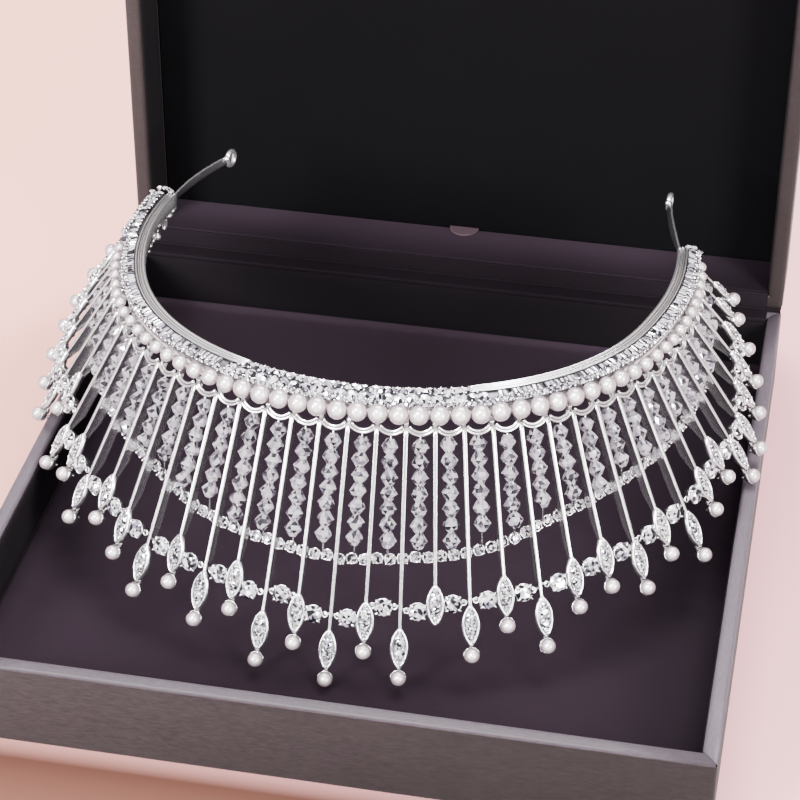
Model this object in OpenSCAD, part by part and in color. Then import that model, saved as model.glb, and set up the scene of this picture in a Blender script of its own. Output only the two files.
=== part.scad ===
// Bridal crown with a fringe of spikes and crystal strands, lying in its open presentation box

/* [Box] */
// Outer width and depth of the square box
box_w = 158.6; // [150:0.1:170]
// Height of the box's base
base_h = 20; // [19.8:0.1:24]
// Thickness of the base's walls
wall = 3.2; // [3:0.1:4]
// Thickness of the boards under the base and behind the lid
board = 3; // [2.5:0.1:4]
// Depth of the velvet floor below the base's rim
tray_drop = 14.1; // [14:0.1:14.4]
// Total depth of the lid
lid_d = 18; // [17:0.1:19.5]
// Thickness of the lid's walls
lid_wall = 3.6; // [3:0.1:4]
// Clearance between the lid and the base
lid_gap = 0.3; // [0.2:0.05:0.6]
// Radius of the half-round cloth tab in the lid
tab_r = 3.6; // [3:0.1:5]

/* [Band] */
// Diameter of the largest pearls along the band, at its front
pearl_d = 4.03; // [3.8:0.01:4.04]
// Distance between two pearls' centres
pearl_pitch = 4.15; // [4.15:0.01:4.18]
// Number of pearls to the left of the middle one
pearl_left = 23; // [15:1:23]
// Number of pearls to the right of the middle one
pearl_right = 27; // [20:1:27]
// Distance of the middle pearl from the crown's centre line
pearl_shift = 1.8; // [0:0.1:2]
// Bore through each pearl
pearl_bore = 1; // [0.9:0.1:1]
// Diameter of the thread through the pearls
thread_d = 0.6; // [0.5:0.05:0.7]
// Length of the jewelled band on each side, along the pearls
band_half = 118; // [117.5:0.1:119]
// Thickness of the strap inside the band
strap_t = 1; // [0.8:0.1:1.2]
// Height of the strap
strap_h = 2.4; // [2:0.1:2.8]
// Length of each bare tail of the strap
tail_len = 22; // [20:0.5:24]
// Outer radius of the eyelet on each tail
eyelet_r = 2; // [1.8:0.1:2.4]

/* [Fringe] */
// Distance between two spikes along the pearls
spike_pitch = 5.85; // [5.8:0.01:5.9]
// Width of a spike's front edge
spike_w = 1; // [0.9:0.1:1.4]
// Depth of a spike from front to back
spike_depth = 2.8; // [2:0.1:3]
// Length of the pointed leaf at a spike's end
leaf_len = 8.4; // [7:0.1:9]
// Width of the pointed leaf
leaf_w = 3.7; // [3:0.1:4]
// Thickness of the pointed leaf
leaf_t = 1.6; // [1.2:0.1:2]
// Diameter of the pearl on a spike's tip
tip_d = 3.1; // [2.8:0.1:3.2]
// Diameter of the round stones between the spikes
stone_d = 3.7; // [3:0.1:3.8]
// Diameter of the cut crystal beads
bead_d = 3.7; // [3.4:0.1:3.8]
// Distance between two crystal beads
bead_pitch = 3.3; // [3.2:0.05:3.5]
// Diameter of the small stones' string behind the spikes
string_d = 2.2; // [2:0.1:2.4]

/* [Lie of the crown in the box] */
// Place of the crown's front above the box's middle, across and along
crown_xy = [-2.07, -32.42];
// Height of the front pearls above the base's rim
crown_z = 38.05; // [38:0.05:38.3]
// Turns of the crown about X, Y and Z
crown_turn = [-4.05, 0.2, 0.25];

/* [Hidden] */
$fn = 48;

// The band's outline: arcs that follow each other from the front to the back, each [radius, length]
RADIUS = 0;
LENGTH = 1;
ARCS = [[74, 26], [57, 50], [82, 80]];

// Length of each spike from the pearls to its tip pearl, counted out from the middle: [left, right]
LEFT = 0;
RIGHT = 1;
SPIKES = [[53.3, 53.3], [46.7, 46.7], [51.8, 51.8], [42.7, 42.7], [47.1, 47.1], [41.5, 41.5], [46.5, 46.9],
    [41.5, 40.2], [37.3, 37.9], [41.5, 40.9], [35.5, 36.5], [37.9, 40.6], [28.2, 33.9], [36, 30.4],
    [32.6, 35.3], [29.6, 33.2], [26, 28.6], [23.8, 24.8], [19.8, 20.2], [16, 15.6], [14.6, 14.6]];
LAST_SPIKE = len(SPIKES) - 1;
BARE_TIP = 3; // the spike that has lost its tip pearl

// Distance below the pearls of each stone of the outer garland, from the middle gap outwards
GARLAND = [40, 37.1, 37.8, 36.2, 35.8, 35, 34.2, 32.6, 31.6, 30.5, 29, 28, 26, 25.5, 25, 22, 18.5, 16.2];
// Distance below the pearls of the inner string, from the middle spike outwards
STRING = [28.8, 28.2, 27.8, 27.2, 26.6, 25.4, 23.4, 21.6, 20.2, 19.2, 18.2, 17.2, 16.3, 15.5, 14.9, 14.2,
    12.6, 10.8, 9.2, 8, 7.4];

// The pearls' size along the band, as a share of the largest ones: they grow smaller to both ends
PEARL_SHARE = [[-96, 0.57], [-60, 0.6], [-45, 0.72], [-30, 0.89], [-18, 1], [40, 1], [56, 0.92], [66, 0.77],
    [78, 0.65], [114, 0.6]];

tail_turn = [17, -4];      // how far the left and the right tail bend inwards
eyelet_turn = [-8, 0];     // how far each eyelet is bent out of its tail's line
strap_out = -6.1;          // the strap's middle, measured outwards from the pearls' centres
strap_top = 3.1;           // the strap's upper edge above the pearls' centres
seat_out = [-3.2, -2.3];   // the upright wall behind the pearls
seat_foot = -2.5;          // its lower edge
shelf_z = [-0.3, 0.4];     // the shelf between the strap and that wall
bracket_out = [-3.1, -0.5]; // the bracket under the pearls that a spike is soldered to
bracket_z = [-3.5, -2.25];
bracket_w = 1;
spike_out = 0.5;           // where a spike's front edge starts
spike_drop = -2.5;
arch_half = 2.6;           // the wire arches between the spikes: half width, sag, drop and wire
arch_sag = 1.35;
arch_drop = 0.15;
arch_wire = 0.42;
leaf_front = -0.4;         // the leaf's face in front of the spike's front edge
tip_front = -0.4;          // the tip pearl's centre
cup_r = 1.2;               // the cup behind a tip pearl, with its peg, and the neck up to the leaf
cup_y = [1.25, 1.9];
peg_r = 0.4;
peg_len = 0.85;
neck_y = 0.9;
neck_len = 1.7;
stone_front = -0.55;       // the widest part of a garland stone, in front of the spikes' front edges
link_r = 0.35;
strand_top = 1.95;         // where a strand's first bead starts below its arch's ends
strand_in = 1.6;           // depth of a strand's middle behind the spikes' front edges
string_in = 4.3;
string_room = 1.3;         // what the inner string needs above itself
// To the left of this stones take the pearls' place, and reach out this far
pearls_end = -(pearl_left + 0.6) * pearl_pitch + pearl_shift;
wide_out = 0.4;
inner_w = box_w - 2 * wall;
tray_z = base_h - tray_drop;
lid_y = box_w / 2 + lid_gap;
lid_z = base_h + lid_gap;
lid_in = box_w - 2 * lid_wall;

// Walks along the arcs from the front: [x, y, bearing]
function walk(left, i = 0, x = 0, y = 0, t = 0) =
    let (last = i == len(ARCS) - 1, r = ARCS[i][RADIUS], run = last ? left : min(left, ARCS[i][LENGTH]),
        t2 = t + run / r * 180 / PI, x2 = x + r * (sin(t2) - sin(t)), y2 = y + r * (cos(t) - cos(t2)))
    last || left <= ARCS[i][LENGTH] ? [x2, y2, t2] : walk(left - run, i + 1, x2, y2, t2);
function station(s) = let (p = walk(abs(s))) [sign(s) * p.x, p.y, sign(s) * p.z];
// A point beside the pearls: s along them, out from their centres, up from them
function beside(s, out, up) = let (p = station(s)) [p.x + out * sin(p.z), p.y - out * cos(p.z), up];

// The fringe's slope away from upright, and its sideways lean, at s along the pearls
function flare(s) = let (q = s / 100) 22.64 + 0.21 * q + 12.04 * q ^ 2 - 0.98 * q ^ 4;
function lean(s) = 15.1 * (s / 100) ^ 3;
// A point of the fringe: down along a spike, and in behind its front edge
function fringe(s, down, in) =
    let (t = station(s).z, f = flare(s), a = lean(s), side = sin(a) * down,
        out = sin(f) * cos(a) * down - cos(f) * in, drop = cos(f) * cos(a) * down + sin(f) * in)
    beside(s, spike_out, spike_drop)
        + [side * cos(t) + out * sin(t), side * sin(t) - out * cos(t), -drop];
function spike_len(k) = SPIKES[abs(k)][k < 0 ? LEFT : RIGHT];
function gap_s(j) = (j + 0.5) * spike_pitch;
// The garland's stone in gap j hangs between spikes j and j + 1
function garland_drop(j) =
    min(GARLAND[j < 0 ? -j - 1 : j], spike_len(j) - 4, spike_len(j + 1) - 4);
function string_drop(k) = let (a = abs(k), i = floor(a), f = a - i)
    i >= LAST_SPIKE ? STRING[LAST_SPIKE] : STRING[i] * (1 - f) + STRING[i + 1] * f;
function arch_down(j) = arch_drop + 0.8 * sin(abs(lean(gap_s(j))));
function strand_start(j) = arch_down(j) + strand_top;
function bead_count(j) =
    max(1, floor((string_drop(j + 0.5) - string_room - strand_start(j)) / bead_pitch + 0.15));
GAPS = [-LAST_SPIKE : LAST_SPIKE - 1];
GARLAND_GAPS = [-len(GARLAND) : len(GARLAND) - 1];

// A strip along the band, between two distances out from the pearls and two heights
module strip(out, z, ends = [-band_half, band_half], step = 3) {
    run = ends[1] - ends[0];
    n = ceil(run / step);
    translate([0, 0, z[0]]) linear_extrude(z[1] - z[0])
        polygon([for (i = [0 : n]) let (p = beside(ends[0] + run * i / n, out[0], 0)) [p.x, p.y],
            for (i = [n : -1 : 0]) let (p = beside(ends[0] + run * i / n, out[1], 0)) [p.x, p.y]]);
}

// Stands its children in the fringe: X along the band, Y in, Z up along the spike
module on_fringe(s, down = 0) {
    p = station(s);
    start = beside(s, spike_out, spike_drop);
    translate(start) rotate([0, 0, p.z]) rotate([-flare(s), 0, 0]) rotate([0, -lean(s), 0])
        translate([0, 0, -down]) children();
}
module in_box() {
    translate([crown_xy.x, crown_xy.y, base_h + crown_z]) rotate(crown_turn) children();
}
// A round bar or disc along Y
module disc_y(r, y, fn = 24) {
    translate([0, y[0], 0]) rotate([-90, 0, 0]) cylinder(r = r, h = y[1] - y[0], $fn = fn);
}

module leaf_blank(length, width, y) {
    r = (length ^ 2 + width ^ 2) / (4 * width);
    aside = r - width / 2;
    intersection() {
        translate([aside, 0, 0]) disc_y(r, y, 64);
        translate([-aside, 0, 0]) disc_y(r, y, 64);
    }
}
module spike(k) {
    tip = spike_len(k);
    point = tip - tip_d / 2 - 0.15;
    small = min(1, tip / 18);
    length = leaf_len * small;
    blade = point - length + 0.8;
    on_fringe(k * spike_pitch) {
        translate([-spike_w / 2, 0, -blade]) cube([spike_w, spike_depth, blade - 0.2]);
        translate([0, 0, length / 2 - point])
            leaf_blank(length, leaf_w * small, [leaf_front, leaf_front + leaf_t]);
    }
    if (k != BARE_TIP) on_fringe(k * spike_pitch, tip) {
        disc_y(cup_r, cup_y);
        disc_y(peg_r, [cup_y[1] - 0.1, cup_y[1] + peg_len], 16);
        translate([-0.45, neck_y, cup_r - 0.25]) cube([0.9, cup_y[1] - neck_y, neck_len]);
    }
}
module arch(j) {
    r = (arch_half ^ 2 + arch_sag ^ 2) / (2 * arch_sag);
    half = asin(arch_half / r);
    on_fringe(gap_s(j), arch_down(j)) translate([0, 0.5, r - arch_sag]) rotate([-90, 0, 0])
        rotate([0, 0, 90 - half])
        rotate_extrude(angle = 2 * half, $fn = 48) translate([r, 0]) circle(arch_wire, $fn = 16);
}
// The bracket that carries a spike from the wall behind the pearls
module bracket(k) {
    s = k * spike_pitch;
    translate(beside(s, 0, 0)) rotate([0, 0, station(s).z])
        translate([-bracket_w / 2, -bracket_out[1], bracket_z[0]])
        cube([bracket_w, bracket_out[1] - bracket_out[0], bracket_z[1] - bracket_z[0]]);
}
// The cup of a garland stone with the bar that is soldered to both neighbours
module setting(j) {
    down = garland_drop(j);
    reach = norm(fringe((j + 1) * spike_pitch, down, 1) - fringe(j * spike_pitch, down, 1)) / 2;
    on_fringe(gap_s(j), down) {
        disc_y(stone_d / 2 - 0.1, [stone_front + 0.9, 1.75]);
        translate([-reach, 1.15, 0]) rotate([0, 90, 0]) cylinder(r = link_r, h = 2 * reach, $fn = 16);
    }
}
// A bare tail of the strap, which bends by turn over its length and ends in an eyelet
module tail(side) {
    turn = tail_turn[side];
    start = station(band_half).z;
    c = beside(band_half, strap_out, 0);
    r = tail_len / turn * 180 / PI;
    function point(f, off) = let (a = start + turn * f)
        [c.x + r * (sin(a) - sin(start)) + off * sin(a), c.y + r * (cos(start) - cos(a)) - off * cos(a)];
    steps = [-0.04, 0.15, 0.3, 0.45, 0.6, 0.75, 0.9, 1];
    translate([0, 0, strap_top - strap_h]) linear_extrude(strap_h)
        polygon([for (f = steps) point(f, -strap_t / 2),
            for (i = [len(steps) - 1 : -1 : 0]) point(steps[i], strap_t / 2)]);
    end = point(1 + eyelet_r * 0.7 / tail_len, 0);
    translate([end.x, end.y, strap_top - strap_h / 2])
        rotate([0, 0, start + turn + eyelet_turn[side]]) difference() {
            disc_y(eyelet_r, [-strap_t / 2, strap_t / 2]);
            disc_y(eyelet_r / 2, [-strap_t, strap_t]);
        }
}

// Band, tails, spikes, arches, cups and bars are soldered into one solid
module crown_frame() {
    color("silver") in_box() {
        strip([strap_out - strap_t / 2, strap_out + strap_t / 2], [shelf_z[0], strap_top]);
        strip([strap_out - strap_t / 2, seat_out[1]], shelf_z);
        strip(seat_out, [seat_foot, shelf_z[1]]);
        strip([-2.75, wide_out], shelf_z - [0, 0.05], [0.3 - band_half, pearls_end]);
        tail(RIGHT);
        mirror([1, 0, 0]) tail(LEFT);
        for (k = [-LAST_SPIKE : LAST_SPIKE]) {
            bracket(k);
            spike(k);
        }
        for (j = GAPS) arch(j);
        for (j = GARLAND_GAPS) setting(j);
    }
}

module band_pearls() {
    color("seashell") in_box() for (i = [-pearl_left : pearl_right]) {
        s = i * pearl_pitch + pearl_shift;
        translate(beside(s, 0, 0)) rotate([0, 0, station(s).z]) rotate([0, 90, 0])
            rotate_extrude($fn = 32) intersection() {
                circle(d = pearl_d * lookup(s, PEARL_SHARE));
                translate([pearl_bore / 2, -pearl_d]) square(2 * pearl_d);
            }
    }
}

// A tube of n sides through points, closed at both ends
module tube(points, d, n = 8) {
    last = len(points) - 1;
    ring = [for (i = [0 : last]) let (along = points[min(i + 1, last)] - points[max(i - 1, 0)],
        u = along / norm(along), side = cross([0, 0, 1], u) / norm(cross([0, 0, 1], u)), up = cross(u, side))
        for (a = [0 : n - 1]) points[i] + d / 2 * (side * cos(a * 360 / n) + up * sin(a * 360 / n))];
    walls = [for (i = [0 : last - 1], a = [0 : n - 1]) let (b = (a + 1) % n)
        [i * n + a, (i + 1) * n + a, (i + 1) * n + b, i * n + b]];
    polyhedron(ring, concat([[for (a = [0 : n - 1]) a]], walls, [[for (a = [n - 1 : -1 : 0]) last * n + a]]));
}
module pearl_thread() {
    stops = [-pearl_left - 0.53, for (i = [-pearl_left : pearl_right]) i, pearl_right + 0.53];
    color("white") in_box()
        tube([for (i = stops) beside(i * pearl_pitch + pearl_shift, 0, 0)], thread_d);
}

// The field of small stones that fills the band between the strap and the pearls
module band_stones() {
    color("aliceblue") in_box() {
        inner = strap_out + strap_t / 2 + 0.1;
        strip([inner, -2.1], [shelf_z[1] + 0.1, 2.2]);
        strip([inner, -0.7], [2.15, 2.65]);
        strip([inner, -3.6], [2.6, strap_top]);
        strip([-2.4, wide_out], [shelf_z[1] + 0.1, 2.45], [0.3 - band_half, pearls_end]);
    }
}

module tip_pearls() {
    color("seashell") in_box() for (k = [-LAST_SPIKE : LAST_SPIKE]) if (k != BARE_TIP)
        on_fringe(k * spike_pitch, spike_len(k)) translate([0, tip_front, 0]) sphere(d = tip_d, $fn = 32);
}

// A round cut stone, table to the front, with eight facets above the girdle and eight below
module cut_stone(d) {
    table = 0.58;
    culet = 0.3;
    rotate([90, 0, 0]) rotate([0, 0, 22.5]) {
        translate([0, 0, 0.1]) cylinder(d1 = d, d2 = d * table, h = 0.6, $fn = 8);
        cylinder(d = d, h = 0.1, $fn = 8);
        translate([0, 0, -0.8]) cylinder(d1 = d * culet, d2 = d, h = 0.8, $fn = 8);
    }
}
module garland_stones() {
    color("lavender") in_box() for (j = GARLAND_GAPS)
        on_fringe(gap_s(j), garland_drop(j)) translate([0, stone_front, 0]) cut_stone(stone_d);
}

// Each strand of cut crystal beads hangs in a gap, as one round bar of the beads' width
module crystal_strands() {
    color("lavender") in_box() for (j = GAPS) {
        run = bead_count(j) * bead_pitch;
        on_fringe(gap_s(j), strand_start(j) + run) translate([0, strand_in, 0])
            cylinder(d = bead_d, h = run, $fn = 24);
    }
}

// The string of small stones behind the strands' ends
module inner_string() {
    half = LAST_SPIKE - 0.5;
    color("lavender") in_box()
        tube([for (k = [-half : 0.5 : half]) fringe(k * spike_pitch, string_drop(k), string_in)], string_d);
}

module box_base() {
    color("#8d8384") difference() {
        translate([-box_w / 2, -box_w / 2, 0]) cube([box_w, box_w, base_h]);
        translate([-inner_w / 2, -inner_w / 2, board]) cube([inner_w, inner_w, base_h]);
    }
}
// The velvet covered tray lies on the base's bottom and runs up the back wall
module velvet_tray() {
    w = inner_w - 0.2;
    low = board + 0.1;
    color("#3a303b") {
        translate([-w / 2, -w / 2, low]) cube([w, w, tray_z - low]);
        translate([-w / 2, w / 2 - 1, low]) cube([w, 1, base_h - 0.3 - low]);
    }
}
// The lid stands open, turned up about the base's back edge
module box_lid() {
    color("#8d8384") difference() {
        translate([-box_w / 2, lid_y, lid_z]) cube([box_w, lid_d, box_w]);
        translate([-lid_in / 2, lid_y - 1, lid_z + lid_wall]) cube([lid_in, lid_d - board + 1, lid_in]);
    }
}
module lid_lining() {
    w = lid_in - 0.4;
    color("#1c1b1e") translate([-w / 2, lid_y + lid_d - board - 0.9, lid_z + lid_wall + 0.2])
        cube([w, 0.8, w]);
}
module hinge_velvet() {
    w = lid_in - 0.4;
    color("#3a303b") translate([-w / 2, lid_y + 0.3, lid_z + lid_wall + 0.1])
        cube([w, lid_d - board - 1.4, 0.8]);
}
module lid_tab() {
    color("#6f5c72") translate([0, lid_y + lid_d - board - 1.2, lid_z + lid_wall + 1]) intersection() {
        cylinder(r = tab_r, h = 0.5);
        translate([-tab_r, -tab_r, 0]) cube([2 * tab_r, tab_r, 0.5]);
    }
}

box_base();
velvet_tray();
box_lid();
lid_lining();
hinge_velvet();
lid_tab();
crown_frame();
pearl_thread();
band_pearls();
band_stones();
tip_pearls();
garland_stones();
crystal_strands();
inner_string();
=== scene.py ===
"""Bridal crown with a flared fringe, lying on velvet in its open presentation box.

Lengths are in millimetres while a shape is worked out, and become metres when it is made an object.
"""
import logging
import math
from dataclasses import dataclass, replace
from enum import Enum
from typing import Any, Sequence

import bpy
import numpy as np
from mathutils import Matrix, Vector


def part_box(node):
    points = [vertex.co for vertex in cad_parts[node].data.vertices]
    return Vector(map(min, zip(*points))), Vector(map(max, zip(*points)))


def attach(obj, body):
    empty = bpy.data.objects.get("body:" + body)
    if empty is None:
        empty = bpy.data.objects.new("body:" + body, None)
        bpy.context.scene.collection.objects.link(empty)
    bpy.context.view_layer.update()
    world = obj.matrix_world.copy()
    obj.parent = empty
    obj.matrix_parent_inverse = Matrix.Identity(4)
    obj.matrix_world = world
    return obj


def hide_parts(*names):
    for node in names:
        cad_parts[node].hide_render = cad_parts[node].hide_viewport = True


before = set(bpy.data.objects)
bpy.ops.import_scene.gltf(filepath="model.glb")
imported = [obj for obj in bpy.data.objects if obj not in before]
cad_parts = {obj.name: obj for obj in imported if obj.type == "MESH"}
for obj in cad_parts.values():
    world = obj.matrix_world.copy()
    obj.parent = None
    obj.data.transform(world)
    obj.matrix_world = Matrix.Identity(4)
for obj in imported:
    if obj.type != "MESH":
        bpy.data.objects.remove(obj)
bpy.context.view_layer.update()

Array = np.ndarray
Finish = bpy.types.Material
Pair = tuple[float, float]
Triple = tuple[float, float, float]
MM = 0.001
FULL = 2 * np.pi
POLE_FLAT = 0.04  # radius of the flat at a ball's poles, as a share of the ball's own
RIGHT_END_SHIFT = 1.45  # how far the band's right end draws closer to the pearls
X_AXIS, Y_AXIS, Z_AXIS = np.eye(3)
log = logging.getLogger("crown")


class Body(Enum):
    """The bodies that a piece can ride on."""

    BASE = "base"
    LID = "lid"


# ---- shapes ----------------------------------------------------------------------------------------


@dataclass(frozen=True)
class Shape:
    """A mesh in the making.

    Args:
        points: Corner points, one row each.
        corners: The faces' corners, one face after the other.
        sizes: The number of corners of each face.
        soft: True for each face that is shaded smooth.
        spark: Painted brightness of each face, for cut stones: painted glints and reflections.
    """

    points: Array
    corners: Array
    sizes: Array
    soft: Array
    spark: Array

    @staticmethod
    def of(points: Array, faces: Sequence[Array], soft: bool = True) -> "Shape":
        """Makes a shape from points and groups of faces.

        Args:
            points: The corner points.
            faces: Arrays of corner numbers, each with one row per face.
            soft: Whether the faces are shaded smooth.

        Returns:
            The shape.
        """
        sizes = np.concatenate([np.full(len(group), group.shape[1]) for group in faces])
        corners = np.concatenate([group.ravel() for group in faces])
        return Shape(points.reshape(-1, 3), corners, sizes, np.full(len(sizes), soft), np.full(len(sizes), 0.5))

    @staticmethod
    def join(shapes: Sequence["Shape"]) -> "Shape":
        """Puts shapes together in one mesh, each keeping its own shell.

        Args:
            shapes: The shapes.

        Returns:
            All of them as one shape.
        """
        starts = np.cumsum([0] + [len(shape.points) for shape in shapes[:-1]])
        return Shape(np.concatenate([shape.points for shape in shapes]),
                     np.concatenate([shape.corners + start for shape, start in zip(shapes, starts)]),
                     np.concatenate([shape.sizes for shape in shapes]),
                     np.concatenate([shape.soft for shape in shapes]),
                     np.concatenate([shape.spark for shape in shapes]))

    def copies(self, places: Array, bases: Array) -> "Shape":
        """Repeats the shape.

        Each copy's points are its place plus its basis times the shape's points, for all copies at once.

        Args:
            places: One point per copy.
            bases: One 3 by 3 matrix per copy, whose columns are the copy's axes.

        Returns:
            All the copies as one shape.
        """
        count = len(places)
        points = places[:, None] + np.einsum("mij,nj->mni", bases, self.points)
        corners = self.corners[None] + len(self.points) * np.arange(count)[:, None]
        return Shape(points.reshape(-1, 3), corners.ravel(), np.tile(self.sizes, count), np.tile(self.soft, count),
                     np.tile(self.spark, count))

    def moved(self, place: Sequence[float] = (0, 0, 0), basis: Array | None = None) -> "Shape":
        """Turns the shape by a matrix and then moves it."""
        basis = np.eye(3) if basis is None else basis
        return self.copies(np.array([place], float), basis[None])

    def sparkling(self, rng: np.random.Generator, bright: float = 0.45, dark: float = 0.22) -> "Shape":
        """Gives each face a painted brightness, which stands in for glints and reflections.

        Args:
            rng: Source of the picks.
            bright: Share of the faces that are bright.
            dark: Share of the faces that are dark. The others lie between.

        Returns:
            The shape with its brightness.
        """
        pick, level = rng.random((2, len(self.sizes)))
        spark = np.where(pick < bright, 0.8 + 0.2 * level, np.where(pick < 1 - dark, 0.35 + 0.4 * level, 0.2 * level))
        return replace(self, spark=spark)

    def volume(self) -> float:
        """Volume inside the faces, positive where they face outwards: a sum of fans about the origin.

        Returns:
            The volume in cubic millimetres.
        """
        starts = np.concatenate([[0], np.cumsum(self.sizes)[:-1]])
        total = 0.0
        for step in range(1, int(self.sizes.max()) - 1):
            use = starts[self.sizes > step + 1]
            a, b, c = (self.points[self.corners[use + i]] for i in (0, step, step + 1))
            total += float(np.einsum("ij,ij->", a, np.cross(b, c)))
        return total / 6

    def to_object(self, name: str, finish: Finish) -> bpy.types.Object:
        """Makes the shape a Blender object at the origin.

        Args:
            name: The object's name.
            finish: Its material.

        Returns:
            The object, linked to the scene.
        """
        if self.volume() <= 0:
            raise ValueError(f"{name} is inside out")
        mesh = bpy.data.meshes.new(name)
        mesh.vertices.add(len(self.points))
        mesh.vertices.foreach_set("co", (self.points * MM).ravel().astype(np.float32))
        mesh.loops.add(len(self.corners))
        mesh.loops.foreach_set("vertex_index", self.corners.astype(np.int32))
        mesh.polygons.add(len(self.sizes))
        mesh.polygons.foreach_set("loop_start", np.concatenate([[0], np.cumsum(self.sizes)[:-1]]).astype(np.int32))
        mesh.polygons.foreach_set("use_smooth", self.soft)
        spark = mesh.attributes.new("spark", "FLOAT", "FACE")
        spark.data.foreach_set("value", self.spark.astype(np.float32))
        mesh.materials.append(finish)
        mesh.update(calc_edges=True)
        mesh.validate()
        piece = bpy.data.objects.new(name, mesh)
        bpy.context.scene.collection.objects.link(piece)
        return piece


def quads(number: Array) -> Array:
    """The four-cornered faces between neighbours in a grid of point numbers, one row each."""
    return np.stack([number[:-1, :-1], number[:-1, 1:], number[1:, 1:], number[1:, :-1]], -1).reshape(-1, 4)


def surface(points: Array, ring: bool = False, caps: bool = True, soft: bool = True) -> Shape:
    """Faces over a grid of points, closed round its columns.

    Args:
        points: Grid of rows by columns by 3. Seen against the way that the rows go, columns turn anticlockwise.
        ring: Whether the last row joins the first one.
        caps: Whether the first and last rows are closed by a face each.
        soft: Whether the walls are shaded smooth. The caps are flat.

    Returns:
        The shape.
    """
    rows, columns = points.shape[:2]
    number = np.arange(rows * columns).reshape(rows, columns)
    number = np.concatenate([number, number[:, :1]], 1)
    if ring:
        number = np.concatenate([number, number[:1]])
    walls = quads(number)
    faces = [walls]
    if caps and not ring:
        faces += [number[:1, -2::-1], number[-1:, :-1]]
    shape = Shape.of(points, faces, soft)
    flat = shape.soft.copy()
    flat[len(walls):] = False
    return replace(shape, soft=flat)


def sweep(path: Array, across: Array, up: Array, profile: Array, ring: bool = False, soft: bool = True) -> Shape:
    """Carries a closed profile along a path: point = path + across * x + up * y.

    Args:
        path: Points of the path, one row each.
        across: Direction of the profile's x, one for all points or one for each.
        up: Direction of the profile's y, likewise. Across, up and the way along form a right-handed set.
        profile: The profile's points, anticlockwise, or one profile for each point of the path.
        ring: Whether the path is closed.
        soft: Whether the walls are shaded smooth.

    Returns:
        The shape.
    """
    profile = np.broadcast_to(profile, (len(path),) + profile.shape[-2:])
    across, up = (np.broadcast_to(way, path.shape)[:, None] for way in (across, up))
    return surface(path[:, None] + across * profile[..., :1] + up * profile[..., 1:], ring, soft=soft)


def circle(radius: float | Array, count: int, squash: float = 1.0) -> Array:
    """Points round a circle, anticlockwise. An array of radii gives one circle for each.

    Args:
        radius: The radius, or one for each circle.
        count: Number of points.
        squash: The height as a share of the width.

    Returns:
        The points, one row each.
    """
    angle = np.arange(count) * FULL / count
    unit = np.stack([np.cos(angle), squash * np.sin(angle)], -1)
    return np.asarray(radius)[..., None, None] * unit


def wire(path: Array, radius: float | Array, count: int = 8, ring: bool = False) -> Shape:
    """A round wire through points.

    Its across direction is the cross product of the way along with the axis that the wire follows least.

    Args:
        path: Points of the path.
        radius: The wire's radius, or one for each point.
        count: Number of sides.
        ring: Whether the wire closes on itself.

    Returns:
        The shape.
    """
    if ring:
        along = np.roll(path, -1, 0) - np.roll(path, 1, 0)
    else:
        along = np.gradient(path, axis=0)
    along /= np.linalg.norm(along, axis=1, keepdims=True)
    least = np.eye(3)[np.argmin(np.abs(along).sum(0))]
    up = np.cross(along, np.cross(least, along))
    up /= np.linalg.norm(up, axis=1, keepdims=True)
    across = np.cross(up, along)
    return sweep(path, across, up, circle(np.broadcast_to(radius, len(path)), count), ring)


def spun(profile: Array, count: int, soft: bool = True) -> Shape:
    """Turns a profile of [radius, height] points, from bottom to top, about Z.

    Args:
        profile: The profile.
        count: Number of faces round it.
        soft: Whether the walls are shaded smooth.

    Returns:
        The shape.
    """
    angle = np.arange(count) * FULL / count
    radius, height = np.asarray(profile, float).T
    points = np.stack([radius[:, None] * np.cos(angle), radius[:, None] * np.sin(angle),
                       np.broadcast_to(height[:, None], (len(height), count))], -1)
    return surface(points, soft=soft)


def hoop(radius: float, thick: float, count: int, sides: int, tall: float = 1.0) -> Shape:
    """A hoop of wire that stands in XZ about the origin.

    Args:
        radius: The hoop's radius.
        thick: The wire's radius.
        count: Number of points round the hoop.
        sides: Number of sides of the wire.
        tall: The hoop's height as a share of its width.

    Returns:
        The hoop.
    """
    x, z = circle(radius, count, tall).T
    return wire(np.stack([x, 0 * x, z], -1), thick, sides, ring=True)


def ball(radius: float, sides: int, rows: int) -> Shape:
    """A ball about the origin with its poles on Z: radius times [cos, sin] of the latitude.

    Args:
        radius: The ball's radius.
        sides: Number of faces round it.
        rows: Number of rings of points.

    Returns:
        The shape.
    """
    pole = math.asin(POLE_FLAT)
    latitude = np.linspace(-np.pi / 2 + pole, np.pi / 2 - pole, rows)
    return spun(radius * np.stack([np.cos(latitude), np.sin(latitude)], -1), sides)


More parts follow.
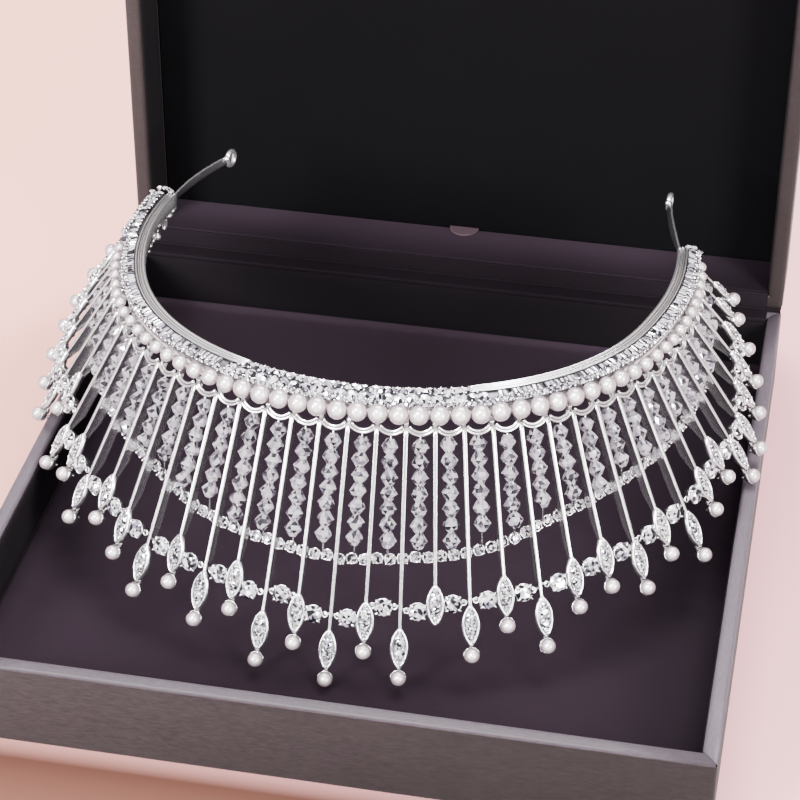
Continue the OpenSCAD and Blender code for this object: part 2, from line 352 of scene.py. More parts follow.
def rounded(low: Sequence[float], high: Sequence[float], edge: float, steps: int = 3) -> Shape:
    """A block with rounded edges.

    Each side is a grid that is finer at its borders. A point p of the sharp block becomes c + edge * (p - c) / |p - c|,
    where c is p held inside the block less its rounding.

    Args:
        low: Lowest corner.
        high: Highest corner.
        edge: Radius of the edges.
        steps: Number of faces across a rounded edge.

    Returns:
        The shape.
    """
    low, high = np.array(low, float), np.array(high, float)
    bend = edge * (1 - np.tan(np.linspace(np.pi / 4, 0, steps + 1)))
    lines = [np.concatenate([low[a] + bend, np.linspace(low[a] + edge, high[a] - edge, 6)[1:-1], high[a] - bend[::-1]])
             for a in range(3)]
    shapes = []
    for axis in range(3):
        u, v = (axis + 1) % 3, (axis + 2) % 3
        for end, place in ((0, low[axis]), (1, high[axis])):
            grid = np.zeros((len(lines[u]), len(lines[v]), 3))
            grid[..., u], grid[..., v], grid[..., axis] = lines[u][:, None], lines[v][None], place
            number = np.arange(grid.size // 3).reshape(grid.shape[:2])
            faces = quads(number.T)
            shapes.append(Shape.of(grid, [faces if end else faces[:, ::-1]]))
    block = Shape.join(shapes)
    core = np.clip(block.points, low + edge, high - edge)
    away = block.points - core
    away /= np.maximum(np.linalg.norm(away, axis=1, keepdims=True), 1e-9)
    return welded(replace(block, points=core + edge * away))


def welded(shape: Shape) -> Shape:
    """Merges the points of a shape that lie on one another, so that its sides share their borders.

    Args:
        shape: The shape.

    Returns:
        The shape with each point once.
    """
    keys = np.round(shape.points * 1000).astype(np.int64)
    _, first, number = np.unique(keys, axis=0, return_index=True, return_inverse=True)
    return replace(shape, points=shape.points[first], corners=number.ravel()[shape.corners])


def spin(axis: int, degrees: float | Array) -> Array:
    """Rotation matrices about X, Y or Z (0, 1 or 2), for one angle or for an array of angles.

    Args:
        axis: The axis.
        degrees: The angle, or an array of angles.

    Returns:
        One 3 by 3 matrix, or one for each angle.
    """
    angle = np.radians(degrees)
    turn = np.zeros(np.shape(angle) + (3, 3))
    i, j = (axis + 1) % 3, (axis + 2) % 3
    turn[..., axis, axis] = 1
    turn[..., i, i] = turn[..., j, j] = np.cos(angle)
    turn[..., j, i] = np.sin(angle)
    turn[..., i, j] = -np.sin(angle)
    return turn


# ---- materials -------------------------------------------------------------------------------------


class Value:
    """One output of a material's node tree. Expressions on values add Math nodes."""

    def __init__(self, dressing: "Dressing", socket: bpy.types.NodeSocket) -> None:
        """Wraps a socket of a tree."""
        self.dressing = dressing
        self.socket = socket

    def math(self, operation: str, *others: "Value | float") -> "Value":
        """Adds a Math node whose first input is this value."""
        return self.dressing.node("ShaderNodeMath", {"operation": operation}, dict(enumerate((self, *others))))

    def __add__(self, other: "Value | float") -> "Value":
        """This value plus another."""
        return self.math("ADD", other)

    def __sub__(self, other: "Value | float") -> "Value":
        """This value less another."""
        return self.math("SUBTRACT", other)

    def __rsub__(self, other: float) -> "Value":
        """A number less this value."""
        return self.dressing.node("ShaderNodeMath", {"operation": "SUBTRACT"}, {0: other, 1: self})

    def __mul__(self, other: "Value | float") -> "Value":
        """This value times another."""
        return self.math("MULTIPLY", other)

    def clamped(self) -> "Value":
        """This value held between 0 and 1."""
        return self.math("MINIMUM", 1.0).math("MAXIMUM", 0.0)

    __radd__ = __add__
    __rmul__ = __mul__


class Dressing:
    """The node tree of one material, with its Principled shader."""

    def __init__(self, name: str) -> None:
        """Starts a material with nothing but a Principled shader and its output.

        Args:
            name: The material's name.
        """
        self.material = bpy.data.materials.new(name)
        self.material.use_nodes = True
        self.tree = self.material.node_tree
        self.tree.nodes.clear()
        self.shader = self.tree.nodes.new("ShaderNodeBsdfPrincipled")
        output = self.tree.nodes.new("ShaderNodeOutputMaterial")
        self.tree.links.new(self.shader.outputs[0], output.inputs[0])

    def node(self, kind: str, settings: dict[str, Any] | None = None, inputs: dict[int | str, Any] | None = None,
             output: int | str = 0) -> Value:
        """Adds a node.

        Args:
            kind: The node's type.
            settings: Its settings. The setting stops gives a ramp's places and colours.
            inputs: Values or links of its sockets, by number or name.
            output: The output that is wanted.

        Returns:
            That output as a value.
        """
        node = self.tree.nodes.new(kind)
        for key, setting in (settings or {}).items():
            if key == "stops":
                for i, (place, colour) in enumerate(setting):
                    stop = node.color_ramp.elements[i] if i < 2 else node.color_ramp.elements.new(place)
                    stop.position, stop.color = place, (*colour, 1)
            else:
                setattr(node, key, setting)
        for key, value in (inputs or {}).items():
            self.feed(node.inputs[key], value)
        return Value(self, node.outputs[output])

    def feed(self, socket: bpy.types.NodeSocket, value: Any) -> None:
        """Links a value to a socket, or sets the socket.

        Args:
            socket: The socket.
            value: A value to link, or a colour or number to set.
        """
        if isinstance(value, Value):
            self.tree.links.new(value.socket, socket)
        elif isinstance(value, tuple) and socket.type == "RGBA":
            socket.default_value = (*value, 1)
        else:
            socket.default_value = value

    def set(self, **inputs: Any) -> "Dressing":
        """Sets the shader's sockets, named with underscores for spaces.

        Args:
            inputs: Values or constants by socket name.

        Returns:
            This dressing, so that calls can follow it.
        """
        for key, value in inputs.items():
            self.feed(self.shader.inputs[key.replace("_", " ")], value)
        return self

    def place(self, scale: Triple = (1, 1, 1)) -> Value:
        """Object coordinates in metres, scaled on each axis."""
        where = self.node("ShaderNodeTexCoord", output="Object")
        return self.node("ShaderNodeMapping", None, {"Vector": where, "Scale": scale})

    def axis(self, number: int) -> Value:
        """The object coordinate in metres along X, Y or Z (0, 1 or 2)."""
        return self.node("ShaderNodeSeparateXYZ", None, {0: self.place()}, number)

    def spark(self) -> Value:
        """The painted brightness that each facet of a cut stone holds: painted glints."""
        return self.node("ShaderNodeAttribute", {"attribute_name": "spark"}, None, "Fac")

    def noise(self, size: float, detail: float = 2.0, stretch: Triple = (1, 1, 1)) -> Value:
        """Soft noise from 0 to 1 whose blots are about one size in mm."""
        return self.node("ShaderNodeTexNoise", None,
                         {"Vector": self.place(stretch), "Scale": 1 / (size * MM), "Detail": detail})

    def ramp(self, value: Value, *stops: tuple[float, Triple]) -> Value:
        """Colours along a value."""
        return self.node("ShaderNodeValToRGB", {"stops": stops}, {"Fac": value})

    def mix(self, factor: Value | float, first: Any, second: Any) -> Value:
        """A blend of two colours."""
        return self.node("ShaderNodeMix", {"data_type": "RGBA"}, {"Factor": factor, 6: first, 7: second}, 2)

    def bump(self, height: Value, depth: float, strength: float = 1.0) -> "Dressing":
        """Raises the surface by a height times a depth in mm."""
        normal = self.node("ShaderNodeBump", None, {"Height": height, "Distance": depth * MM, "Strength": strength})
        return self.set(Normal=normal)


@dataclass(frozen=True)
class Silver:
    """Bright silver plate, slightly uneven from casting and polishing."""

    colour: Triple = (0.93, 0.92, 0.93)
    rough: Pair = (0.1, 0.26)
    grain: float = 1.3
    depth: float = 0.05
    # share of the colour kept where a side turns away from the view: painted shade
    turned: float = 0.3
    mirror: float = 0.95

    def material(self, name: str) -> Finish:
        """Roughness and a shallow bump follow one soft noise. Sides that turn away from the view are darker: painted
        shade.

        Args:
            name: The material's name.

        Returns:
            The material.
        """
        d = Dressing(name)
        noise = d.noise(self.grain)
        low, high = self.rough
        # Painted shade: the colour darkens where the surface turns away from the view.
        away = d.node("ShaderNodeLayerWeight", None, {"Blend": 0.5}, "Facing")
        shade = tuple(self.turned * part for part in self.colour)
        d.set(Base_Color=d.mix(away, self.colour, shade), Metallic=self.mirror, Roughness=noise * (high - low) + low)
        return d.bump(noise, self.depth, 0.5).material


@dataclass(frozen=True)
class Pearl:
    """Cream pearl lustre with a pink tinge towards its rim, with a painted highlight over its face and painted shade
    towards the rim.
    """

    painted_highlight: Triple = (0.95, 0.88, 0.89)
    face: Triple = (0.50, 0.41, 0.42)
    # pink tinge and painted shade towards the rim
    rim: Triple = (0.20, 0.14, 0.155)

    def material(self, name: str) -> Finish:
        """Colour runs from a painted highlight over the face to a rim in painted shade with the angle of view, under a
        strong clear coat.

        Args:
            name: The material's name.

        Returns:
            The material.
        """
        d = Dressing(name)
        # Painted highlight in the middle of the face and painted shade towards the rim, by the angle of view.
        edge = d.node("ShaderNodeLayerWeight", None, {"Blend": 0.5}, "Facing") + d.noise(2.2) * 0.06 - 0.03
        d.set(Base_Color=d.ramp(edge, (0.04, self.painted_highlight), (0.2, self.face), (0.75, self.rim)), Roughness=0.3, IOR=1.7,
              Coat_Weight=1.0, Coat_Roughness=0.12, Coat_IOR=2.1)
        return d.material


@dataclass(frozen=True)
class FoiledStone:
    """Clear cut stone silvered behind: each facet holds a painted share of light and dark, which stands in for what it
    mirrors.
    """

    dark: Triple = (0.012, 0.011, 0.014)
    # grey violet of the middle facets, which stands in for rainbow glints: painted
    tint: Triple = (0.30, 0.27, 0.36)
    light: Triple = (1.0, 0.97, 0.99)

    def material(self, name: str) -> Finish:
        """The facets' spark sets their colour, painted glints and dark reflections, half mirrored and half spread.

        Args:
            name: The material's name.

        Returns:
            The material.
        """
        d = Dressing(name)
        # Painted glints and reflections: each facet's colour is picked from dark, tint and light by its spark.
        colour = d.ramp(d.spark(), (0.15, self.dark), (0.5, self.tint), (0.8, self.light))
        d.set(Base_Color=colour, Metallic=0.4, Roughness=0.1, Coat_Weight=0.25, Coat_Roughness=0.02, Coat_IOR=1.6)
        return d.material


@dataclass(frozen=True)
class Glass:
    """Clear cut glass that gathers light: part of it is seen through, and part shines in its facets, whose brightness
    is painted.
    """

    dark: Triple = (0.02, 0.018, 0.025)
    middle: Triple = (0.36, 0.32, 0.42)
    light: Triple = (1.0, 0.95, 0.99)
    clear: float = 0.62
    ior: float = 1.56

    def material(self, name: str) -> Finish:
        """The facets' spark sets their colour under a glossy coat: painted glints and dark reflections.

        Args:
            name: The material's name.

        Returns:
            The material.
        """
        d = Dressing(name)
        # Painted glints and dark reflections: each facet's colour is picked by its spark.
        colour = d.ramp(d.spark(), (0.12, self.dark), (0.45, self.middle), (0.95, self.light))
        d.set(Base_Color=colour, Transmission_Weight=self.clear, IOR=self.ior, Coat_Weight=0.6, Coat_IOR=1.56,
              Coat_Roughness=0.02, Roughness=d.noise(1.5) * 0.05 + 0.03)
        return d.material


@dataclass(frozen=True)
class Velvet:
    """Short velvet pile."""

    deep: Triple = (0.0125, 0.0083, 0.0120)
    raised: Triple = (0.0235, 0.0160, 0.0225)
    # lighter colour towards the back: painted light
    far: Triple = (0.040, 0.0275, 0.039)
    # darker colour at the right wall and where the pile stands upright: painted shade
    wall: Triple = (0.0075, 0.0055, 0.0073)
    sheen: Triple = (0.62, 0.46, 0.60)
    sheen_weight: float = 0.012
    # slope and start of the painted light towards the back
    fade: Pair = (6.6, 0.15)
    # slope of the painted shade with height; 0 leaves it out
    upright: float = 150.0

    def material(self, name: str) -> Finish:
        """Brushed patches some centimetres wide, with the pile's fine tooth as bump.

        Painted light makes the pile lighter to the back, and painted shade makes it darker at the right wall and where
        it stands upright.

        Args:
            name: The material's name.

        Returns:
            The material.
        """
        d = Dressing(name)
        side, back, rise = (d.axis(i) for i in range(3))
        patches = d.noise(26, 3) * 0.7 + d.noise(5, 2) * 0.3
        pile = d.noise(0.5, 3)
        near = d.mix(patches * 0.7 + pile * 0.3, self.deep, self.raised)
        # Painted light: lighter towards the back.
        pile_colour = d.mix((back * self.fade[0] + self.fade[1]).clamped(), near, self.far)
        # Painted shade: darker at the right wall and where the pile stands upright.
        dark = ((side * 22.0 - 0.95).clamped() + (rise * self.upright - 1.2).clamped()).clamped()
        d.set(Base_Color=d.mix(dark, pile_colour, self.wall), Roughness=0.95,
              Sheen_Weight=self.sheen_weight, Sheen_Roughness=0.45, Sheen_Tint=self.sheen, Specular_IOR_Level=0.0)
        return d.bump(pile + d.noise(9, 2) * 2, 0.12, 0.5).material


@dataclass(frozen=True)
class SatinCover:
    """Satin covering with a fine brushed grain along one axis."""

    base: Triple = (0.0150, 0.0108, 0.0113)
    bright: Triple = (0.038, 0.0275, 0.029)
    stretch: Triple = (0.2, 1, 1)
    gloss: float = 0.15
    # share of the colour kept at the right: painted shade
    right: float = 0.52

    def material(self, name: str) -> Finish:
        """Fine lines of a noise stretched along the grain, in colour, roughness and bump. Painted shade makes it darker
        to the right.

        Args:
            name: The material's name.

        Returns:
            The material.
        """
        d = Dressing(name)
        grain = d.noise(0.35, 3, self.stretch)
        cloud = d.noise(30, 2)
        even = (grain * 1.5 + cloud * 0.4 - 0.45).clamped()
        # Painted shade: the colours darkened for the right side.
        deep = [tuple(self.right * part for part in colour) for colour in (self.base, self.bright)]
        colour = d.mix((d.axis(0) * 9.0 + 0.75).clamped(), d.mix(even, self.base, self.bright), d.mix(even, *deep))
        d.set(Base_Color=colour, Roughness=grain * 0.15 + 0.42, Specular_IOR_Level=self.gloss)
        return d.bump(grain, 0.03, 0.4).material


@dataclass(frozen=True)
class PlainCloth:
    """Close cloth of one colour with a fine weave."""

    colour: Triple = (0.0035, 0.0033, 0.0038)
    raised: Triple = (0.0055, 0.0052, 0.0060)
    rough: float = 0.75
    gloss: float = 0.0

    def material(self, name: str) -> Finish:
        """A weave of two crossed waves, and a soft cloud over it.

        Args:
            name: The material's name.

        Returns:
            The material.
        """
        d = Dressing(name)
        where = d.place()
        waves = [d.node("ShaderNodeTexWave", {"bands_direction": axis}, {"Vector": where, "Scale": 900.0})
                 for axis in ("X", "Z")]
        weave = waves[0] * waves[1]
        d.set(Base_Color=d.mix(d.noise(40, 2) * 0.6 + weave * 0.4, self.colour, self.raised), Roughness=self.rough,
              Specular_IOR_Level=self.gloss)
        return d.bump(weave, 0.04, 0.3).material


# ---- the crown's lines -----------------------------------------------------------------------------


@dataclass(frozen=True)
class Outline:
    """The band's line through its pearls, the fringe's slope, and how the crown lies in the box.

    Args:
        arcs: Arcs from the front to the back, each with radius and length.
        turn: Turns about X, Y and Z in the box, in degrees.
        place: Place of the middle front pearl in the box.
        start_out: Where the spikes' front edges start, out from the pearls' centres.
        start_up: And how far above them.
        last: Number of the last spike on each side.
        pitch: Distance between two spikes along the pearls.
        half: Length of the jewelled band on each side, along the pearls.
    """

    arcs: tuple[Pair, ...] = ((74, 26), (57, 50), (82, 80))
    turn: Triple = (-4.05, 0.2, 0.25)
    place: Triple = (-2.07, -32.42, 58.05)
    start_out: float = 0.5
    start_up: float = -2.5
    last: int = 20
    pitch: float = 5.85
    half: float = 118.0

    def station(self, s: Array) -> tuple[Array, Array, Array]:
        """Place and bearing at s along the pearls.

        Along an arc of radius r that starts at bearing t, the place moves by r (sin t' - sin t, cos t - cos t').

        Args:
            s: Distances from the crown's middle, positive to the right.

        Returns:
            x, y and the bearing in radians.
        """
        side, left = np.sign(s), np.abs(np.asarray(s, float))
        x, y, t = np.zeros_like(left), np.zeros_like(left), np.zeros_like(left)
        for i, (radius, length) in enumerate(self.arcs):
            run = left if i == len(self.arcs) - 1 else np.minimum(left, length)
            end = t + run / radius
            x, y = x + radius * (np.sin(end) - np.sin(t)), y + radius * (np.cos(t) - np.cos(end))
            left, t = left - run, end
        return side * x, y, side * t

    def beside(self, s: Array, out: Array | float, up: Array | float) -> Array:
        """Points at s along the pearls, out from their centres and up from them."""
        x, y, t = self.station(s)
        return np.stack(np.broadcast_arrays(x + out * np.sin(t), y - out * np.cos(t), up), -1)

    def band_basis(self, s: Array, tilt: float | Array = 0.0) -> Array:
        """Axes along the band, inwards and up, tipped outwards by tilt degrees."""
        return spin(2, np.degrees(self.station(s)[2])) @ spin(0, tilt)

    @staticmethod
    def flare(s: Array) -> Array:
        """The fringe's slope away from upright, in degrees."""
        q = np.asarray(s) / 100
        return 22.64 + 0.21 * q + 12.04 * q ** 2 - 0.98 * q ** 4

    @staticmethod
    def lean(s: Array) -> Array:
        """The fringe's sideways lean, in degrees."""
        return 15.1 * (np.asarray(s) / 100) ** 3

    def fringe_basis(self, s: Array) -> Array:
        """Axes of the fringe: along the band, inwards, and up along a spike."""
        return self.band_basis(s) @ spin(0, -self.flare(s)) @ spin(1, -self.lean(s))

    def fringe(self, s: Array, x: Array | float, y: Array | float, down: Array | float) -> Array:
        """Points of the fringe: x along the band, y in behind the front edges, down along a spike.

        Args:
            s: Distances along the pearls.
            x: Offset along the band.
            y: Depth behind the front edges.
            down: Distance down the spike.

        Returns:
            The points, one row each.
        """
        s = np.asarray(s, float)
        local = np.stack(np.broadcast_arrays(x, y, -np.asarray(down, float), s)[:3], -1)
        start = self.beside(s, self.start_out, self.start_up)
        return start + np.einsum("...ij,...j->...i", self.fringe_basis(s), local)

    def hung(self, shape: Shape, s: Array, y: float, down: Array | float) -> Shape:
        """Repeats a shape in the fringe at each s, y in behind the front edges and down along the spikes."""
        return shape.copies(self.fringe(s, 0.0, y, down), self.fringe_basis(s))

    def in_box(self, shape: Shape) -> Shape:
        """Lays a shape of the crown in the box."""
        a, b, c = self.turn
        return shape.moved(self.place, spin(2, c) @ spin(1, b) @ spin(0, a))


@dataclass(frozen=True)
class Fringe:
    """Lengths in the fringe, counted out from the middle."""

    spikes: tuple[Pair, ...] = (
        (53.3, 53.3), (46.7, 46.7), (51.8, 51.8), (42.7, 42.7), (47.1, 47.1), (41.5, 41.5), (46.5, 46.9),
        (41.5, 40.2), (37.3, 37.9), (41.5, 40.9), (35.5, 36.5), (37.9, 40.6), (28.2, 33.9), (36, 30.4),
        (32.6, 35.3), (29.6, 33.2), (26, 28.6), (23.8, 24.8), (19.8, 20.2), (16, 15.6), (14.6, 14.6))
    garland: tuple[float, ...] = (40, 37.1, 37.8, 36.2, 35.8, 35, 34.2, 32.6, 31.6, 30.5, 29, 28, 26, 25.5, 25, 22,
                                  18.5, 16.2)
    string: tuple[float, ...] = (28.8, 28.2, 27.8, 27.2, 26.6, 25.4, 23.4, 21.6, 20.2, 19.2, 18.2, 17.2, 16.3, 15.5,
                                 14.9, 14.2, 12.6, 10.8, 9.2, 8, 7.4)
    bare_tip: int = 3
    bead_pitch: float = 3.3
    arch_drop: float = 0.15
    strand_top: float = 1.95
    string_room: float = 1.3

    def spike_length(self, k: Array) -> Array:
        """Length of spike k from the pearls to its tip pearl."""
        k = np.asarray(k)
        return np.array(self.spikes)[np.abs(k), (k > 0).astype(int)]

    def garland_gaps(self) -> Array:
        """The gaps that hold a stone of the outer garland. Gap j lies between spikes j and j + 1."""
        return np.arange(-len(self.garland), len(self.garland))

    def garland_drop(self, j: Array) -> Array:
        """Distance of a garland stone below the pearls, held above its neighbours' leaves."""
        drop = np.array(self.garland)[np.where(j < 0, -j - 1, j)]
        return np.minimum(drop, np.minimum(self.spike_length(j), self.spike_length(j + 1)) - 4)

    def string_drop(self, k: Array) -> Array:
        """Distance of the inner string below the pearls at spike k, or between two spikes."""
        return np.interp(np.abs(k), np.arange(len(self.string)), self.string)

    def arch_down(self, j: Array) -> Array:
        """Distance of the arch's ends in gap j below the spikes' starts."""
        return self.arch_drop + 0.8 * np.sin(np.radians(np.abs(OUTLINE.lean((j + 0.5) * OUTLINE.pitch))))

    def strand_start(self, j: Array) -> Array:
        """Distance of the first bead in gap j below the spikes' starts."""
        return self.arch_down(j) + self.strand_top

    def bead_count(self, j: Array) -> Array:
        """Number of crystal beads in gap j."""
        room = self.string_drop(j + 0.5) - self.string_room - self.strand_start(j)
        return np.maximum(1, np.floor(room / self.bead_pitch + 0.15)).astype(int)


OUTLINE = Outline()
FRINGE = Fringe()
SPIKES = np.arange(-OUTLINE.last, OUTLINE.last + 1)
GAPS = np.arange(-OUTLINE.last, OUTLINE.last)
TO_FRONT = spin(0, 90)


def piece(shape: Shape, name: str, finish: Finish, slot: str, body: Body, *nodes: str) -> bpy.types.Object:
    """Makes a shape a piece of the model.

    Args:
        shape: The shape, in the box's frame.
        name: The piece's name.
        finish: Its material.
        slot: The material slot that it would belong to; not used.
        body: The body that it rides on.
        nodes: The CAD nodes that it stands for.

    Returns:
        The object.
    """
    made = shape.to_object(name, finish)
    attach(made, body.value)
    if nodes:
        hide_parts(*nodes)
    log.info("%s: %d faces", name, len(shape.sizes))
    return made


def crown_piece(shape: Shape, name: str, finish: Finish, slot: str, *nodes: str) -> None:
    """Lays a shape of the crown in the box and makes it a piece that rides on the base."""
    piece(OUTLINE.in_box(shape), name, finish, slot, Body.BASE, *nodes)


# ---- stones ----------------------------------------------------------------------------------------


def brilliant(diameter: float, table: float = 0.56, crown: float = 0.17, depth: float = 0.42) -> Shape:
    """A round brilliant with 57 facets, its table upwards and its girdle at height 0.

    Rings of points are joined: the table's 8, the stars' 8 half a step on, the girdle's 16, the pavilion's 8 half a
    step on, and the culet. The table is fanned about its middle, so that its parts can differ in brightness.

    Args:
        diameter: Diameter at the girdle.
        table: The table's share of it.
        crown: Height of the crown as a share of the diameter.
        depth: Depth of the pavilion as a share of the diameter.

    Returns:
        The stone.
    """
    radius = diameter / 2
    eight = np.arange(8) * FULL / 8
    sixteen = np.arange(16) * FULL / 16

    def ring(angle: Array, share: float, height: float) -> Array:
        """Points round the stone at one height."""
        return np.stack([share * radius * np.cos(angle), share * radius * np.sin(angle),
                         np.full_like(angle, height * diameter)], -1)

    top = ring(eight, table, crown)
    star = ring(eight + FULL / 16, (table + 1) / 2 + 0.02, crown * 0.55)
    girdle = ring(sixteen, 1, 0)
    low = ring(eight + FULL / 16, 0.36, -depth * 0.72)
    ends = np.array([[0, 0, crown * diameter], [0, 0, -depth * diameter]])
    t, m, g, p = (np.arange(8), 8 + np.arange(8), 16 + np.arange(16), 32 + np.arange(8))
    middle, culet = np.full(8, 40), np.full(8, 41)
    after = np.roll(np.arange(8), -1)
    even, odd, next_even = g[::2], g[1::2], g[::2][after]
    triangles = [(middle, t, t[after]), (t, m, t[after]), (m, even, odd), (m, odd, next_even),
                 (p, odd, even), (p, next_even, odd)]
    kites = [(t[after], m, next_even, m[after]), (culet, p[after], next_even, p)]
    faces = [np.concatenate([np.stack(face, -1) for face in triangles]),
             np.concatenate([np.stack(face, -1) for face in kites])]
    return Shape.of(np.concatenate([top, star, girdle, low, ends]), faces, soft=False)


def small_round(diameter: float, table: float = 0.5, crown: float = 0.2, depth: float = 0.3) -> Shape:
    """A small round stone with a few large facets, its table upwards and its girdle at height 0.

    Eight facets rise from the girdle to a table fanned in eight, and eight fall to a flat culet.

    Args:
        diameter: Diameter at the girdle.
        table: The table's share of it.
        crown: Height of the crown as a share of the diameter.
        depth: Depth below the girdle as a share of the diameter.

    Returns:
        The stone.
    """
    angle = np.arange(8) * FULL / 8
    share = np.array([0.3, 1.0, table])[:, None]
    height = np.array([-depth, 0.0, crown])[:, None]
    rings = np.stack(np.broadcast_arrays(share * diameter / 2 * np.cos(angle), share * diameter / 2 * np.sin(angle),
                                         height * diameter), -1)
    here, after = np.arange(8), np.roll(np.arange(8), -1)
    walls = np.concatenate([np.stack([i * 8 + here, i * 8 + after, i * 8 + 8 + after, i * 8 + 8 + here], -1)
                            for i in range(2)])
    fan = np.stack([16 + here, 16 + after, np.full(8, 24)], -1)
    points = np.concatenate([rings.reshape(-1, 3), [[0, 0, crown * diameter]]])
    return Shape.of(points, [walls, fan, here[None, ::-1]], soft=False)


def bicone(diameter: float, length: float, sides: int = 9) -> Shape:
    """A cut glass bicone along Z.

    Rings of points widen from the flat end to the girdle, each half a step on from the last, so that every side is
    cut in long triangles.

    Args:
        diameter: Diameter at the girdle.
        length: Length from end to end.
        sides: Number of facets round it.

    Returns:
        The bead.
    """
    shares = np.array([0.40, 0.70, 1.0, 0.70, 0.40])
    heights = np.array([-0.49, -0.26, 0.0, 0.26, 0.49]) * length
    step = np.arange(sides) * FULL / sides
    rings = [np.stack([diameter / 2 * share * np.cos(step + i % 2 * FULL / (2 * sides)),
                       diameter / 2 * share * np.sin(step + i % 2 * FULL / (2 * sides)),
                       np.full(sides, height)], -1) for i, (share, height) in enumerate(zip(shares, heights))]
    here, after = np.arange(sides), np.roll(np.arange(sides), -1)
    faces = []
    for i in range(4):
        low, high = i * sides, (i + 1) * sides
        if i % 2 == 0:
            faces += [np.stack([low + here, low + after, high + here], -1),
                      np.stack([low + after, high + after, high + here], -1)]
        else:
            faces += [np.stack([low + here, high + after, high + here], -1),
                      np.stack([low + here, low + after, high + after], -1)]
    faces = [np.concatenate(faces), here[None, ::-1], 4 * sides + here[None]]
    return Shape.of(np.concatenate(rings), faces, soft=False)


def claw_bead(radius: float) -> Shape:
    """The round head of a claw."""
    return ball(radius, 7, 5)


# ---- the crown -------------------------------------------------------------------------------------


@dataclass(frozen=True)
class Row:
    """A row of stones along the band.

    Args:
        start: Where it starts along the pearls.
        end: Where it ends.
        out: Distance of its middle out from the pearls' centres.
        up: Height above them.
        tilt: Its tilt outwards, in degrees.
        size: Diameter of its stones.
        pitch: Distance between two of them.
        stretch: How much longer the stones are across the band than along it.
    """

    start: float
    end: float
    out: float
    up: float
    tilt: float
    size: float
    pitch: float
    stretch: float = 1.0

    def spots(self) -> Array:
        """Places of the stones along the pearls, evenly spread from start to end."""
        count = max(2, round((self.end - self.start) / self.pitch) + 1)
        return np.linspace(self.start, self.end, count)


